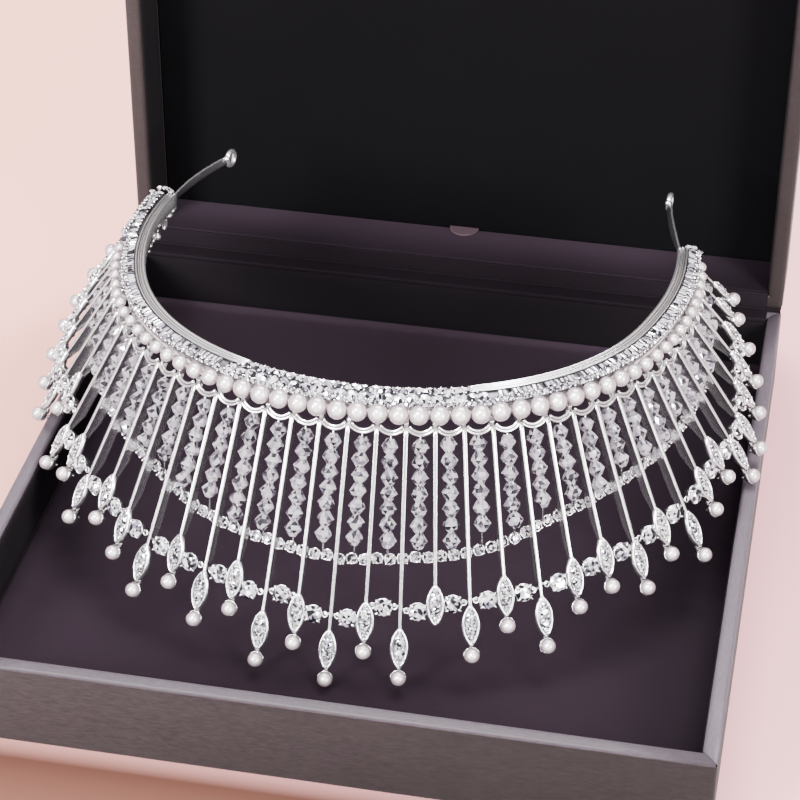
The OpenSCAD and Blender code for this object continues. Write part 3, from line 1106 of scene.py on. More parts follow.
@dataclass
class Band:
    """The band: rails, gallery, tails with their eyelets, and the stones and claws that fill it.

    Args:
        silver: The claws' finish.
        rail: The finish of the rails and the strap: a lighter copy of the silver, painted light.
        brushed: The tails' finish: rougher silver, darker for painted shade.
        dull_and_shaded: The finish of the metal between the stones: rougher silver, darker for painted shade.
        stone: The stones' finish.
        rng: Source of the small unevenness.
        strap: Distance of the strap's middle out from the pearls' centres.
        top: Height of the strap's upper edge above them.
        front: Half the length of the front stretch, where stones cover the rails.
        pearls_end: To the left of this, stones take the pearls' place.
        tail_length: Length of each bare tail.
        tail_turn: Bend of the left and the right tail, in degrees.
        tail_twist: Twist of each tail over its length, in degrees.
        eyelet_turn: Bend of each eyelet out of its tail's line.
        eyelet: Outer radius of the eyelets.
    """

    silver: Finish
    rail: Finish
    brushed: Finish
    dull_and_shaded: Finish
    stone: Finish
    rng: np.random.Generator
    strap: float = -6.1
    top: float = 3.1
    front: float = 25.0
    pearls_end: float = -96.2
    tail_length: float = 22.0
    tail_turn: Pair = (17, -4)
    tail_twist: Pair = (22, 30)
    eyelet_turn: Pair = (-8, -12)
    eyelet: float = 2.0

    def rows(self) -> list[Row]:
        """All rows of round stones: over the rails at the front, beside the pearls, and wide ones at the left end.

        Returns:
            The rows.
        """
        half, front, out = OUTLINE.half, self.front, self.pearls_end
        return [Row(-front, front, -5.25, 2.5, -4, 2.35, 2.4),
                Row(-front - 3, front + 3, -2.95, 2.2, 22, 2.45, 2.5),
                Row(-front - 6, front + 6, -1.75, 1.4, 50, 1.1, 1.3),
                Row(out + 0.5, -front - 6, -1.95, 1.85, 40, 1.3, 1.5),
                Row(front + 6, half - 0.8, -1.95, 1.85, 40, 1.3, 1.5),
                Row(-half + 0.6, out, -2.35, 2.45, 14, 1.5, 1.62, 1.75),
                Row(-half + 0.6, out - 0.8, -0.35, 1.55, 42, 1.35, 1.55, 1.2)]

    @staticmethod
    def beside(s: Array, out: Array | float, up: Array | float) -> Array:
        """Points beside the pearls, for the band alone: towards its right end it draws closer to them."""
        return OUTLINE.beside(s, out + Band.closer(s), up)

    @staticmethod
    def closer(s: Array) -> Array:
        """How far the band has moved outwards at s along the pearls: from 82 mm on, over 36 mm."""
        return RIGHT_END_SHIFT * np.clip((np.asarray(s, float) - 82) / 36, 0, 1) ** 1.3

    def strip(self, profile: Array, start: float, end: float, step: float = 2.0, dip: float = 0.0) -> Shape:
        """Carries a profile of [out, up] points, anticlockwise, along the band.

        Args:
            profile: The profile.
            start: Where it starts along the pearls.
            end: Where it ends.
            step: Length of a face.
            dip: How far both ends sink.

        Returns:
            The strip.
        """
        s = np.linspace(start, end, max(3, int((end - start) / step)))
        share = np.linspace(-1, 1, len(s))
        path = self.beside(s, 0.0, -dip * np.abs(share) ** 12)
        basis = OUTLINE.band_basis(s)
        return sweep(path, basis[..., 1], basis[..., 2], np.array(profile)[::-1] * (-1, 1))

    @staticmethod
    def bar(out: float, up: float, radius: float, sides: int = 10, squash: float = 1.0) -> Array:
        """Profile of a round or flattened bar."""
        return circle(radius, sides, squash) + (out, up)

    @staticmethod
    def plate(out: Pair, up: Pair, edge: float = 0.12) -> Array:
        """Profile of a flat plate with cut corners.

        Args:
            out: Its nearest and farthest distance out.
            up: Its lowest and highest point.
            edge: Size of the cut at each corner.

        Returns:
            The profile's points.
        """
        (a, b), (c, d), e = out, up, edge
        return np.array([(a + e, c), (b - e, c), (b, c + e), (b, d - e),
                         (b - e, d), (a + e, d), (a, d - e), (a, c + e)])

    def tail(self, side: int) -> list[Shape]:
        """A bare tail: a flat strip that bends and twists evenly over its length, with an eyelet at its end.

        Args:
            side: 0 for the left, 1 for the right.

        Returns:
            The strip, and the bright edge and eyelet, on their own side.
        """
        bend = math.radians(self.tail_turn[side])
        start = OUTLINE.station(np.array([OUTLINE.half]))[2][0]
        centre = OUTLINE.beside(np.array([OUTLINE.half]), self.strap, 0.0)[0]
        radius = self.tail_length / bend
        share = np.linspace(-0.06, 1.0, 18)
        angle = start + bend * share
        path = centre + np.stack([radius * (np.sin(angle) - np.sin(start)), radius * (np.cos(start) - np.cos(angle)),
                                  np.full_like(angle, self.top - 1.25)], -1)
        inward = np.stack([-np.sin(angle), np.cos(angle), 0 * angle], -1)
        path -= inward * (side * RIGHT_END_SHIFT * (1 - np.maximum(share, 0)) ** 2)[:, None]
        twist = np.radians(self.tail_twist[side]) * np.clip(share * 3, 0, 1)[:, None]
        above = np.array([[0.0, 0, 1]])
        across = np.cos(twist) * inward + np.sin(twist) * above
        up = np.cos(twist) * above - np.sin(twist) * inward
        strip = sweep(path, across, up, self.plate((-0.3, 0.3), (-0.9, 0.8), 0.2))
        edge = sweep(path, across, up, circle(0.24, 8) + (0.12, 0.8))
        end = start + bend
        eye = hoop(1.55, 0.6, 28, 12, 1.1)
        knob = ball(0.75, 12, 8).moved((-1.75, 0, 0.55))
        reach = self.eyelet * 0.8
        place = path[-1] + np.array([np.cos(end), np.sin(end), 0]) * reach
        turn = spin(2, math.degrees(end) + self.eyelet_turn[side])
        bright = Shape.join([edge, Shape.join([eye, knob]).moved(place, turn)])
        return [part if side else flipped(replace(part, points=part.points * (-1, 1, 1))) for part in (strip, bright)]

    def gallery(self) -> Shape:
        """Rails, strap, channel, shelf and wall, and a bracket under the pearls for every spike.

        Returns:
            The metal that carries the stones.
        """
        half, out = OUTLINE.half, self.pearls_end
        parts = [self.strip(self.plate((-6.6, -5.2), (-0.3, 2.3)), -half, half),
                 self.strip(self.plate((-5.4, -2.3), (-0.3, 0.4)), -half, half),
                 self.strip(self.plate((-3.2, -2.3), (-2.5, 0.5)), -half, half),
                 self.strip(self.plate((-2.6, 0.4), (-0.3, 0.5)), -half, out)]
        for a, b in ((-half, -self.front), (self.front, half)):
            parts += [self.strip(self.bar(-6.3, 2.76, 0.36, 12), a, b, 1.2, 0.35),
                      self.strip(self.bar(-5.6, 2.72, 0.22), a, b, 1.2, 0.35),
                      self.strip(self.bar(-5.1, 2.6, 0.17, 8), a, b, 1.2, 0.2),
                      self.strip(self.bar(-4.6, 2.7, 0.2, 8), a, b, 1.2, 0.2)]
        parts.append(self.strip(self.bar(-6.25, 2.25, 0.33), -self.front - 1, self.front + 1, 1.5))
        s = SPIKES * OUTLINE.pitch
        bracket = rounded((-0.5, 0.5, -3.5), (0.5, 3.1, -2.25), 0.2, 1)
        parts.append(bracket.copies(OUTLINE.beside(s, 0.0, 0.0), OUTLINE.band_basis(s)))
        return Shape.join(parts)

    def seat(self) -> Shape:
        """The seats that the stones are set in, in darker, rougher silver: the darkness is painted shade.

        Returns:
            The seats.
        """
        half, out = OUTLINE.half, self.pearls_end
        left = np.array([(-2.5, 0.3), (0.55, 0.3), (0.3, 0.9), (-1.0, 1.55), (-2.5, 1.9)])
        field = np.array([(-5.25, 0.3), (-2.35, 0.3), (-1.8, 0.9), (-2.6, 1.65), (-3.6, 2.1), (-5.25, 2.35)])
        return Shape.join([self.strip(left, -half, out), self.strip(field, -half, half)])

    def ladder(self) -> Array:
        """Places along the pearls of the square-cut stones that stand side by side like a ladder's rungs."""
        side = np.arange(self.front + 6.6, OUTLINE.half - 0.6, 1.12)
        return np.concatenate([-side[side < -self.pearls_end][::-1], side])

    def stones(self) -> Shape:
        """Round stones in rows, square-cut ones side by side, and a rounded cluster at both ends.

        Returns:
            The stones with their brightness.
        """
        parts = []
        for row in self.rows():
            s = row.spots()
            jitter = self.rng.normal(0, 1, (4, len(s)))
            places = self.beside(s, row.out + 0.05 * jitter[3], row.up + 0.05 * jitter[0])
            bases = OUTLINE.band_basis(s, row.tilt + 6 * jitter[1]) @ spin(1, 6 * jitter[2]) \
                @ np.diag([1, row.stretch, 1]) @ spin(2, 360 * self.rng.random(len(s)))
            parts.append(small_round(row.size).copies(places, bases).sparkling(self.rng, 0.26, 0.34))
        s = self.ladder()
        cut = spun(np.array([(0.40, -0.5), (0.68, -0.1), (0.70, 0.0), (0.44, 0.25)]), 4, soft=False)
        bases = OUTLINE.band_basis(s, self.rng.normal(14, 6, len(s))) @ spin(2, self.rng.normal(0, 8, len(s))) \
            @ np.diag([0.66, 1.6, 1]) @ spin(2, 45.0)
        parts.append(cut.copies(self.beside(s, -3.3, 2.4), bases).sparkling(self.rng, 0.42, 0.32))
        for side in (-1, 1):
            along = np.array([0.2, 1.1, 1.5, 1.1, 0.2, 0.5, 0.7]) * (1.3 if side < 0 else 0.6)
            out = np.array([-5.0, -4.0, -2.7, -1.4, -0.3, -3.4, -2.0]) * (1.0 if side < 0 else 0.8) - (side > 0) * 1.3
            ends = side * (OUTLINE.half + along)
            up = np.array([2.3, 2.2, 2.0, 1.8, 1.5, 2.7, 2.5]) + (side < 0) * 0.6
            bases = OUTLINE.band_basis(ends, 8.0) @ spin(1, side * np.array([20.0, 35, 45, 35, 25, 15, 15]))
            parts.append(small_round(1.6).copies(self.beside(ends, out, up), bases).sparkling(self.rng, 0.5, 0.25))
        return Shape.join(parts)

    def claws(self) -> Shape:
        """Claw heads between the stones of each row, on both sides.

        Returns:
            The claw heads.
        """
        places = []
        for row in self.rows():
            s = row.spots()
            between = (s[1:] + s[:-1]) / 2
            lean = math.radians(row.tilt)
            for side in (-0.45, 0.45):
                reach = side * row.size * row.stretch
                places.append(self.beside(between, row.out + reach * math.cos(lean),
                                          row.up + 0.14 - reach * math.sin(lean)))
        spots = np.concatenate(places)
        sizes = self.rng.uniform(0.8, 1.2, len(spots))
        return claw_bead(0.22).copies(spots, sizes[:, None, None] * np.eye(3))

    def windings(self) -> Shape:
        """Knots and turns of the fixing wire under the left end of the band, each a drop of its own size.

        Returns:
            The turns of wire.
        """
        spots = np.array([(-119.0, -5.2, -1.9, 0.6, 1.5), (-115.8, -5.6, -2.0, 0.6, 1.0),
                          (-110.4, -6.4, -1.9, 0.6, 2.0), (-106.6, -5.8, -1.6, 0.4, 0.6),
                          (-104.4, -6.3, -2.0, 0.9, 1.0), (-102.0, -5.9, -1.9, 0.5, 0.7),
                          (-99.4, -6.0, -1.9, 0.4, 0.8), (-96.4, -6.1, -1.9, 0.35, 0.5),
                          (-113.0, -5.7, -2.0, 0.35, 0.5)])
        s, out, up, thick, length = spots.T
        bases = OUTLINE.band_basis(s) @ spin(2, 12.0 * np.sin(s * 3)) \
            @ (np.stack([length, thick, thick], -1)[:, None] * np.eye(3))
        return ball(1.0, 12, 8).copies(OUTLINE.beside(s, out, up), bases)

    def build(self) -> None:
        """Makes the band's pieces."""
        strips, bright = zip(self.tail(0), self.tail(1))
        metal = Shape.join([self.gallery(), self.windings(), *bright])
        crown_piece(metal, "band_rails", self.rail, "silver", "crown_frame")
        crown_piece(Shape.join(strips), "band_tails", self.brushed, "silver", "crown_frame")
        crown_piece(self.seat(), "band_seat", self.dull_and_shaded, "silver", "crown_frame")
        crown_piece(self.stones(), "band_cut_stones", self.stone, "pave", "band_stones")
        crown_piece(self.claws(), "band_claws", self.silver, "silver", "crown_frame")


def flipped(shape: Shape) -> Shape:
    """Reverses the corners of every face, for a shape that has been mirrored.

    Args:
        shape: The shape.

    Returns:
        The shape with its faces turned over.
    """
    ends = np.cumsum(shape.sizes)
    starts = ends - shape.sizes
    own = np.repeat(np.arange(len(shape.sizes)), shape.sizes)
    back = starts[own] + ends[own] - 1 - np.arange(len(shape.corners))
    return replace(shape, corners=shape.corners[back])


@dataclass
class Pearls:
    """The pearls along the band and on the spikes' tips."""

    finish: Finish
    rng: np.random.Generator
    diameter: float = 4.03
    pitch: float = 4.15
    left: int = 23
    right: int = 27
    shift: float = 1.8
    tip: float = 3.1
    tip_front: float = -0.4
    shares: tuple[Pair, ...] = (
        (-96, 0.57), (-60, 0.6), (-45, 0.72), (-30, 0.89), (-18, 1), (40, 1), (56, 0.92), (66, 0.77), (78, 0.65),
        (114, 0.6))

    def build(self) -> None:
        """Makes both sets. Along the band the pearls grow smaller to both ends, each set a little out of line."""
        s = np.arange(-self.left, self.right + 1) * self.pitch + self.shift
        uneven = self.rng.normal(0, 0.05, (len(s), 3))
        places = OUTLINE.beside(s, 0.0, 0.0) + uneven
        share = np.interp(s, *np.array(self.shares).T)
        bases = OUTLINE.band_basis(s) @ spin(1, 90.0) * share[:, None, None]
        band = ball(self.diameter / 2, 24, 14).copies(places, bases)
        crown_piece(band, "pearls_along_band", self.finish, "pearl", "band_pearls")
        k = SPIKES[SPIKES != FRINGE.bare_tip]
        s = k * OUTLINE.pitch
        tip = ball(self.tip / 2, 22, 13).moved(basis=TO_FRONT)
        tips = OUTLINE.hung(tip, s, self.tip_front, FRINGE.spike_length(k))
        crown_piece(tips, "pearls_on_tips", self.finish, "pearl", "tip_pearls")


@dataclass
class Spikes:
    """The spikes with their leaves, the arches between them and the cups behind the tip pearls."""

    silver: Finish
    stone: Finish
    rng: np.random.Generator
    leaf_length: float = 8.4
    leaf_width: float = 3.7
    leaf_growth: float = 1.07
    tip: float = 3.1
    arch_half: float = 2.6
    arch_sag: float = 1.35

    def sizes(self) -> tuple[Array, Array, Array]:
        """Tip length, leaf scale and blade length of every spike.

        Returns:
            The three lengths, one value for each spike.
        """
        tip = FRINGE.spike_length(SPIKES)
        small = np.minimum(1, tip / 18)
        return tip, small, tip - self.tip / 2 - 0.15 - self.leaf_length * small + 0.8

    def blades(self) -> Shape:
        """The spikes' blades: a rounded front bar with a hollow down its middle, thin flat sides and a beaded back.

        The profile keeps its width down the blade and narrows over the last stretch, where it meets the leaf.

        Returns:
            All blades.
        """
        right = np.array([(0, 0.07), (0.13, 0.0), (0.32, 0.03), (0.46, 0.2), (0.45, 0.45), (0.32, 0.6), (0.28, 1.5),
                          (0.28, 2.3), (0.32, 2.5), (0.22, 2.72), (0, 2.78)])
        profile = np.concatenate([right, right[-2:0:-1] * (-1, 1)])
        width = np.array([0.9, 0.72, 0.76, 0.82, 0.9, 1, 1, 1.1])
        deep = np.array([0.5, 0.58, 0.75, 1, 1, 1, 1, 1])
        rows = profile[None] * np.stack([width, deep], -1)[:, None]
        shapes = []
        for k, blade in zip(SPIKES, self.sizes()[2]):
            z = np.array([-blade, -blade + 1.2, -blade + 2.6, -blade + 4.5, -blade * 0.5, -4.0, -2.0, -0.2])
            path = np.maximum.accumulate(z)[:, None] * Z_AXIS
            s = np.array([k * OUTLINE.pitch])
            shapes.append(OUTLINE.hung(sweep(path, X_AXIS, Y_AXIS, rows), s, 0.0, 0.0))
        return Shape.join(shapes)

    def leaf(self) -> Shape:
        """A pointed leaf in XZ, its middle at the origin: a smooth rim round a raised plate.

        The outline is two arcs that meet in points: x = +-(sqrt(r^2 - z^2) - a), with r = (l^2 + w^2) / 4w and
        a = r - w / 2.

        Returns:
            The leaf.
        """
        length, width, rim = self.leaf_length, self.leaf_width, 0.36
        r = (length ** 2 + width ** 2) / (4 * width)
        z = (length / 2 - 0.15) * np.sin(np.linspace(-np.pi / 2, np.pi / 2, 15))
        x = np.sqrt(r ** 2 - z ** 2) - (r - width / 2)
        loop = np.stack([np.concatenate([x, -x[-2:0:-1]]), np.full(28, 0.15), np.concatenate([z, z[-2:0:-1]])], -1)
        inner = loop * (1 - rim / (width / 2), 1, 1 - rim / (length / 2))
        along = np.roll(inner, -1, 0) - np.roll(inner, 1, 0)
        along /= np.linalg.norm(along, axis=1, keepdims=True)
        edge = sweep(inner, np.cross(-Y_AXIS, along), -Y_AXIS, circle(1.0, 8) * (rim, 0.62), ring=True)
        plate = np.array([(-1, 0.1), (1, 0.1), (0.9, 0.75), (0, 1.1), (-0.9, 0.75)])
        rows = plate[None] * np.stack([np.maximum(x * 0.9, 0.05), 0 * x + 1], -1)[:, None]
        return Shape.join([edge, sweep(0.94 * z[:, None] * Z_AXIS, X_AXIS, Y_AXIS, rows)])

    def leaf_places(self) -> tuple[Array, Array]:
        """Where the leaves' middles are, and their axes with their scale.

        A leaf grows upwards from its lower point.

        Returns:
            One place and one 3 by 3 matrix per leaf.
        """
        tip, small, _ = self.sizes()
        s = SPIKES * OUTLINE.pitch
        small = small * self.leaf_growth
        down = tip - self.tip / 2 - 0.15 - self.leaf_length * small / 2
        return OUTLINE.fringe(s, 0.0, 0.0, down), OUTLINE.fringe_basis(s) * small[:, None, None]

    def on_leaves(self, shape: Shape, x: float, y: float, z: float) -> Shape:
        """Puts a copy of a shape, which faces the front, on every leaf."""
        places, bases = self.leaf_places()
        return shape.copies(places + bases @ np.array([x, y, z]), bases @ TO_FRONT)

    def leaf_stones(self) -> Shape:
        """Two round stones and a small one above and below them, on every leaf.

        Returns:
            The stones with their brightness.
        """
        parts = [self.on_leaves(brilliant(size, depth=0.35), 0.0, -0.42 + sink, z)
                 for size, z, sink in ((2.0, 1.08, 0), (2.0, -1.08, 0), (1.0, 2.62, 0.2), (1.0, -2.62, 0.2))]
        return Shape.join(parts).sparkling(self.rng, 0.3, 0.36)

    def leaf_claws(self) -> Shape:
        """Claw heads round the leaf's stones."""
        spots = [(x, z) for z in (0.0, 2.05, -2.05) for x in (-0.72, 0.72)] + [(0, 3.2), (0, -3.2)]
        return Shape.join([self.on_leaves(claw_bead(0.27), x, -0.5, z) for x, z in spots])

    def arches(self) -> Shape:
        """Between two spikes, two wires one over the other hang in a shallow arc: (r sin a, y, r - sag - r cos a).

        Returns:
            All arches.
        """
        r = (self.arch_half ** 2 + self.arch_sag ** 2) / (2 * self.arch_sag)
        end = math.asin(self.arch_half / r)
        angle = np.linspace(-end, end, 13)
        wires = []
        for off, y, thick in ((0.22, 0.42, 0.31), (-0.4, 0.5, 0.29)):
            drop = r - self.arch_sag - (r + off) * np.cos(angle)
            wires.append(wire(np.stack([(r + off) * np.sin(angle), np.full(13, y), drop], -1), thick))
        return OUTLINE.hung(Shape.join(wires), (GAPS + 0.5) * OUTLINE.pitch, 0.1, FRINGE.arch_down(GAPS))

    def tip_cups(self) -> Shape:
        """A bowl behind each tip pearl with its peg, and the neck that joins it to the leaf.

        Returns:
            The cups of all spikes that have a pearl.
        """
        bowl = spun(np.array([(0.3, -2.0), (0.95, -1.85), (1.35, -1.45), (1.6, -0.9), (1.68, -0.5), (1.59, -0.42),
                              (1.56, -0.65), (1.1, -1.28), (0.2, -1.6)]), 18)
        peg = spun(np.array([(0.3, -2.7), (0.4, -2.6), (0.4, -1.6)]), 10)
        neck = wire(np.array([(0, 1.3, 1.0), (0, 1.2, 1.8), (0, 0.7, 2.6)]), np.array([0.5, 0.42, 0.5]), 8)
        cup = Shape.join([Shape.join([bowl, peg]).moved((0, -0.4, 0), TO_FRONT), neck])
        k = SPIKES[SPIKES != FRINGE.bare_tip]
        return OUTLINE.hung(cup, k * OUTLINE.pitch, 0.0, FRINGE.spike_length(k))

    def build(self) -> None:
        """Makes the fringe's metal and the stones on its leaves."""
        places, bases = self.leaf_places()
        leaves = Shape.join([self.leaf().copies(places, bases), self.leaf_claws()])
        for shape, name in ((self.blades(), "spikes"), (leaves, "leaves"), (self.arches(), "arches"),
                            (self.tip_cups(), "tip_cups")):
            crown_piece(shape, name, self.silver, "silver", "crown_frame")
        crown_piece(self.leaf_stones(), "leaf_stones", self.stone, "stone")


@dataclass
class Garland:
    """The outer garland: round stones in claw cups, linked from spike to spike."""

    silver: Finish
    stone: Finish
    rng: np.random.Generator
    diameter: float = 3.7
    front: float = -0.55
    bar_in: float = 1.15

    def places(self) -> tuple[Array, Array, Array]:
        """Stations of the stones, their places and their axes.

        Returns:
            The stations, one place and one 3 by 3 matrix for each stone.
        """
        j = FRINGE.garland_gaps()
        s = (j + 0.5) * OUTLINE.pitch
        drop = FRINGE.garland_drop(j)
        return s, OUTLINE.fringe(s, 0.0, 0.0, drop), OUTLINE.fringe_basis(s)

    def cup(self) -> Shape:
        """A cup with four claws that bend over the stone's rim, facing -Y.

        Returns:
            The cup.
        """
        r = self.diameter / 2
        bowl = spun(np.array([(0.9, -1.75), (1.25, -1.7), (r - 0.2, -0.75), (r, -0.05), (r + 0.04, 0.3),
                              (r - 0.12, 0.32), (r - 0.3, -0.3), (0.4, -1.2)]), 20)
        angle = np.radians([45, 135, 225, 315])
        claws = []
        for a in angle:
            out = np.array([r + 0.12, r + 0.2, r + 0.08, r - 0.45])
            up = np.array([-0.6, 0.4, 0.95, 1.12])
            path = np.stack([out * np.cos(a), out * np.sin(a), up], -1)
            claws.append(wire(path, np.array([0.22, 0.27, 0.27, 0.2]), 7))
        return Shape.join([bowl, *claws]).moved(basis=TO_FRONT)

    def links(self) -> Shape:
        """Bars from each cup to the spikes beside it, thickened by a small ring half way.

        Returns:
            Bars and rings.
        """
        j = FRINGE.garland_gaps()
        s, places, bases = self.places()
        drop = FRINGE.garland_drop(j)
        parts = []
        for side in (-0.5, 0.5):
            spike = OUTLINE.fringe(s + side * OUTLINE.pitch, 0.0, self.bar_in, drop)
            cup = places + bases @ np.array([side * 3.0, self.bar_in, 0])
            parts += [wire(np.linspace(a, b, 4), 0.33, 8) for a, b in zip(cup, spike)]
        loop = hoop(0.55, 0.2, 12, 6)
        for side in (-1, 1):
            parts.append(loop.copies(places + bases @ np.array([side * 2.25, 0.55, 0]), bases))
        return Shape.join(parts)

    def build(self) -> None:
        """Makes the garland's stones and settings."""
        s, places, bases = self.places()
        turns = bases @ TO_FRONT @ spin(2, 360 * self.rng.random(len(s)))
        at = places + bases @ np.array([0, self.front, 0])
        stones = brilliant(self.diameter, crown=0.18, depth=0.22).copies(at, turns).sparkling(self.rng, 0.28, 0.38)
        crown_piece(stones, "garland_cut_stones", self.stone, "stone", "garland_stones")
        metal = Shape.join([self.cup().copies(places, bases), self.links()])
        crown_piece(metal, "garland_settings", self.silver, "silver", "crown_frame")


@dataclass
class Strands:
    """The strands of cut glass beads between the spikes, on fine wires."""

    glass: Finish
    silver: Finish
    rng: np.random.Generator
    diameter: float = 3.7
    behind: float = 1.6

    def build(self) -> None:
        """Threads the beads of all gaps, each a little out of line, and runs a wire through every strand."""
        beads, wires = [], []
        bead = bicone(self.diameter, FRINGE.bead_pitch)
        for j, count in zip(GAPS, FRINGE.bead_count(GAPS)):
            s = (j + 0.5) * OUTLINE.pitch
            slip = self.rng.uniform(0, 0.7)
            down = FRINGE.strand_start(j) + slip + (FRINGE.bead_pitch - slip / count) * (np.arange(count) + 0.5)
            sway = np.cumsum(self.rng.normal(0, 0.12, count)) * 0.6
            sway = np.clip(sway - sway.mean(), -0.35, 0.35)
            x = sway + self.rng.normal(0, 0.06, count)
            places = OUTLINE.fringe(np.full(count, s), x, self.behind, down)
            basis = OUTLINE.fringe_basis(np.array([s]))[0]
            turns = basis @ spin(1, self.rng.normal(0, 3, count)) @ spin(2, 360 * self.rng.random(count))
            beads.append(bead.copies(places, turns))
            arch = float(FRINGE.arch_down(j)) + 1.5
            wire_down = np.concatenate([[arch + 0.1], down, [down[-1] + 2.6]])
            wire_x = np.concatenate([[x[0] * 0.5], x, [x[-1]]])
            path = OUTLINE.fringe(np.full(count + 2, s), wire_x, self.behind, wire_down)
            path[0] = OUTLINE.fringe(np.array([s]), 0.0, 0.7, arch)[0]
            path[-1] = OUTLINE.fringe(np.array([s]), x[-1], 3.2, FRINGE.string_drop(j + 0.5) - 0.6)[0]
            wires.append(wire(path, 0.2, 6))
        beads = Shape.join(beads).sparkling(self.rng, 0.42, 0.24)
        crown_piece(beads, "crystal_beads", self.glass, "crystal", "crystal_strands")
        crown_piece(Shape.join(wires), "strand_wires", self.silver, "silver")


@dataclass
class InnerString:
    """The string of small stones in claw cups behind the strands' ends."""

    stone: Finish
    silver: Finish
    rng: np.random.Generator
    behind: float = 4.3
    pitch: float = 2.6

    def line(self) -> tuple[Array, Array]:
        """Places at even steps along the string, and axes: along it, inwards, and across it.

        Returns:
            One place and one 3 by 3 matrix for each stone.
        """
        k = np.linspace(-OUTLINE.last + 0.5, OUTLINE.last - 0.5, 800)
        path = OUTLINE.fringe(k * OUTLINE.pitch, 0.0, self.behind - 0.35, FRINGE.string_drop(k))
        run = np.concatenate([[0], np.cumsum(np.linalg.norm(np.diff(path, axis=0), axis=1))])
        steps = np.arange(1.0, run[-1] - 0.5, self.pitch)
        at = np.interp(steps, run, k)
        places = OUTLINE.fringe(at * OUTLINE.pitch, 0.0, self.behind - 0.35, FRINGE.string_drop(at))
        bases = OUTLINE.fringe_basis(at * OUTLINE.pitch)
        slope = np.gradient(places, axis=0)
        slope /= np.linalg.norm(slope, axis=1, keepdims=True)
        inward = bases[..., 1]
        across = np.cross(slope, inward)
        across /= np.linalg.norm(across, axis=1, keepdims=True)
        return places, np.stack([np.cross(inward, across), inward, across], -1)

    def build(self) -> None:
        """Makes cups with four claws each, their stones, and short links from cup to cup."""
        places, bases = self.line()
        count = len(places)
        step = self.rng.uniform(-0.22, 0.22, count)
        places = places + bases[..., 2] * step[:, None]
        turns = bases @ spin(1, self.rng.normal(0, 5, count))
        cup = spun(np.array([(0.75, -1.0), (1.1, -0.9), (1.3, 0.0), (1.2, 0.28), (1.0, 0.2), (0.4, -0.4)]), 12)
        head = claw_bead(0.33)
        heads = [head.moved((x, y, 0.42)) for x in (-0.82, 0.82) for y in (-0.82, 0.82)]
        cup = Shape.join([cup, *heads]).moved(basis=TO_FRONT).copies(places, turns)
        joint = wire(places - bases[..., 1] * -0.5, 0.28, 7)
        crown_piece(Shape.join([cup, joint]), "string_cups", self.silver, "silver")
        stone = small_round(2.1).moved((0, 0, 0.25)).moved(basis=TO_FRONT)
        stones = stone.copies(places, turns).sparkling(self.rng, 0.33, 0.32)
        crown_piece(stones, "string_stones", self.stone, "small_stones", "inner_string")


# ---- the box ---------------------------------------------------------------------------------------


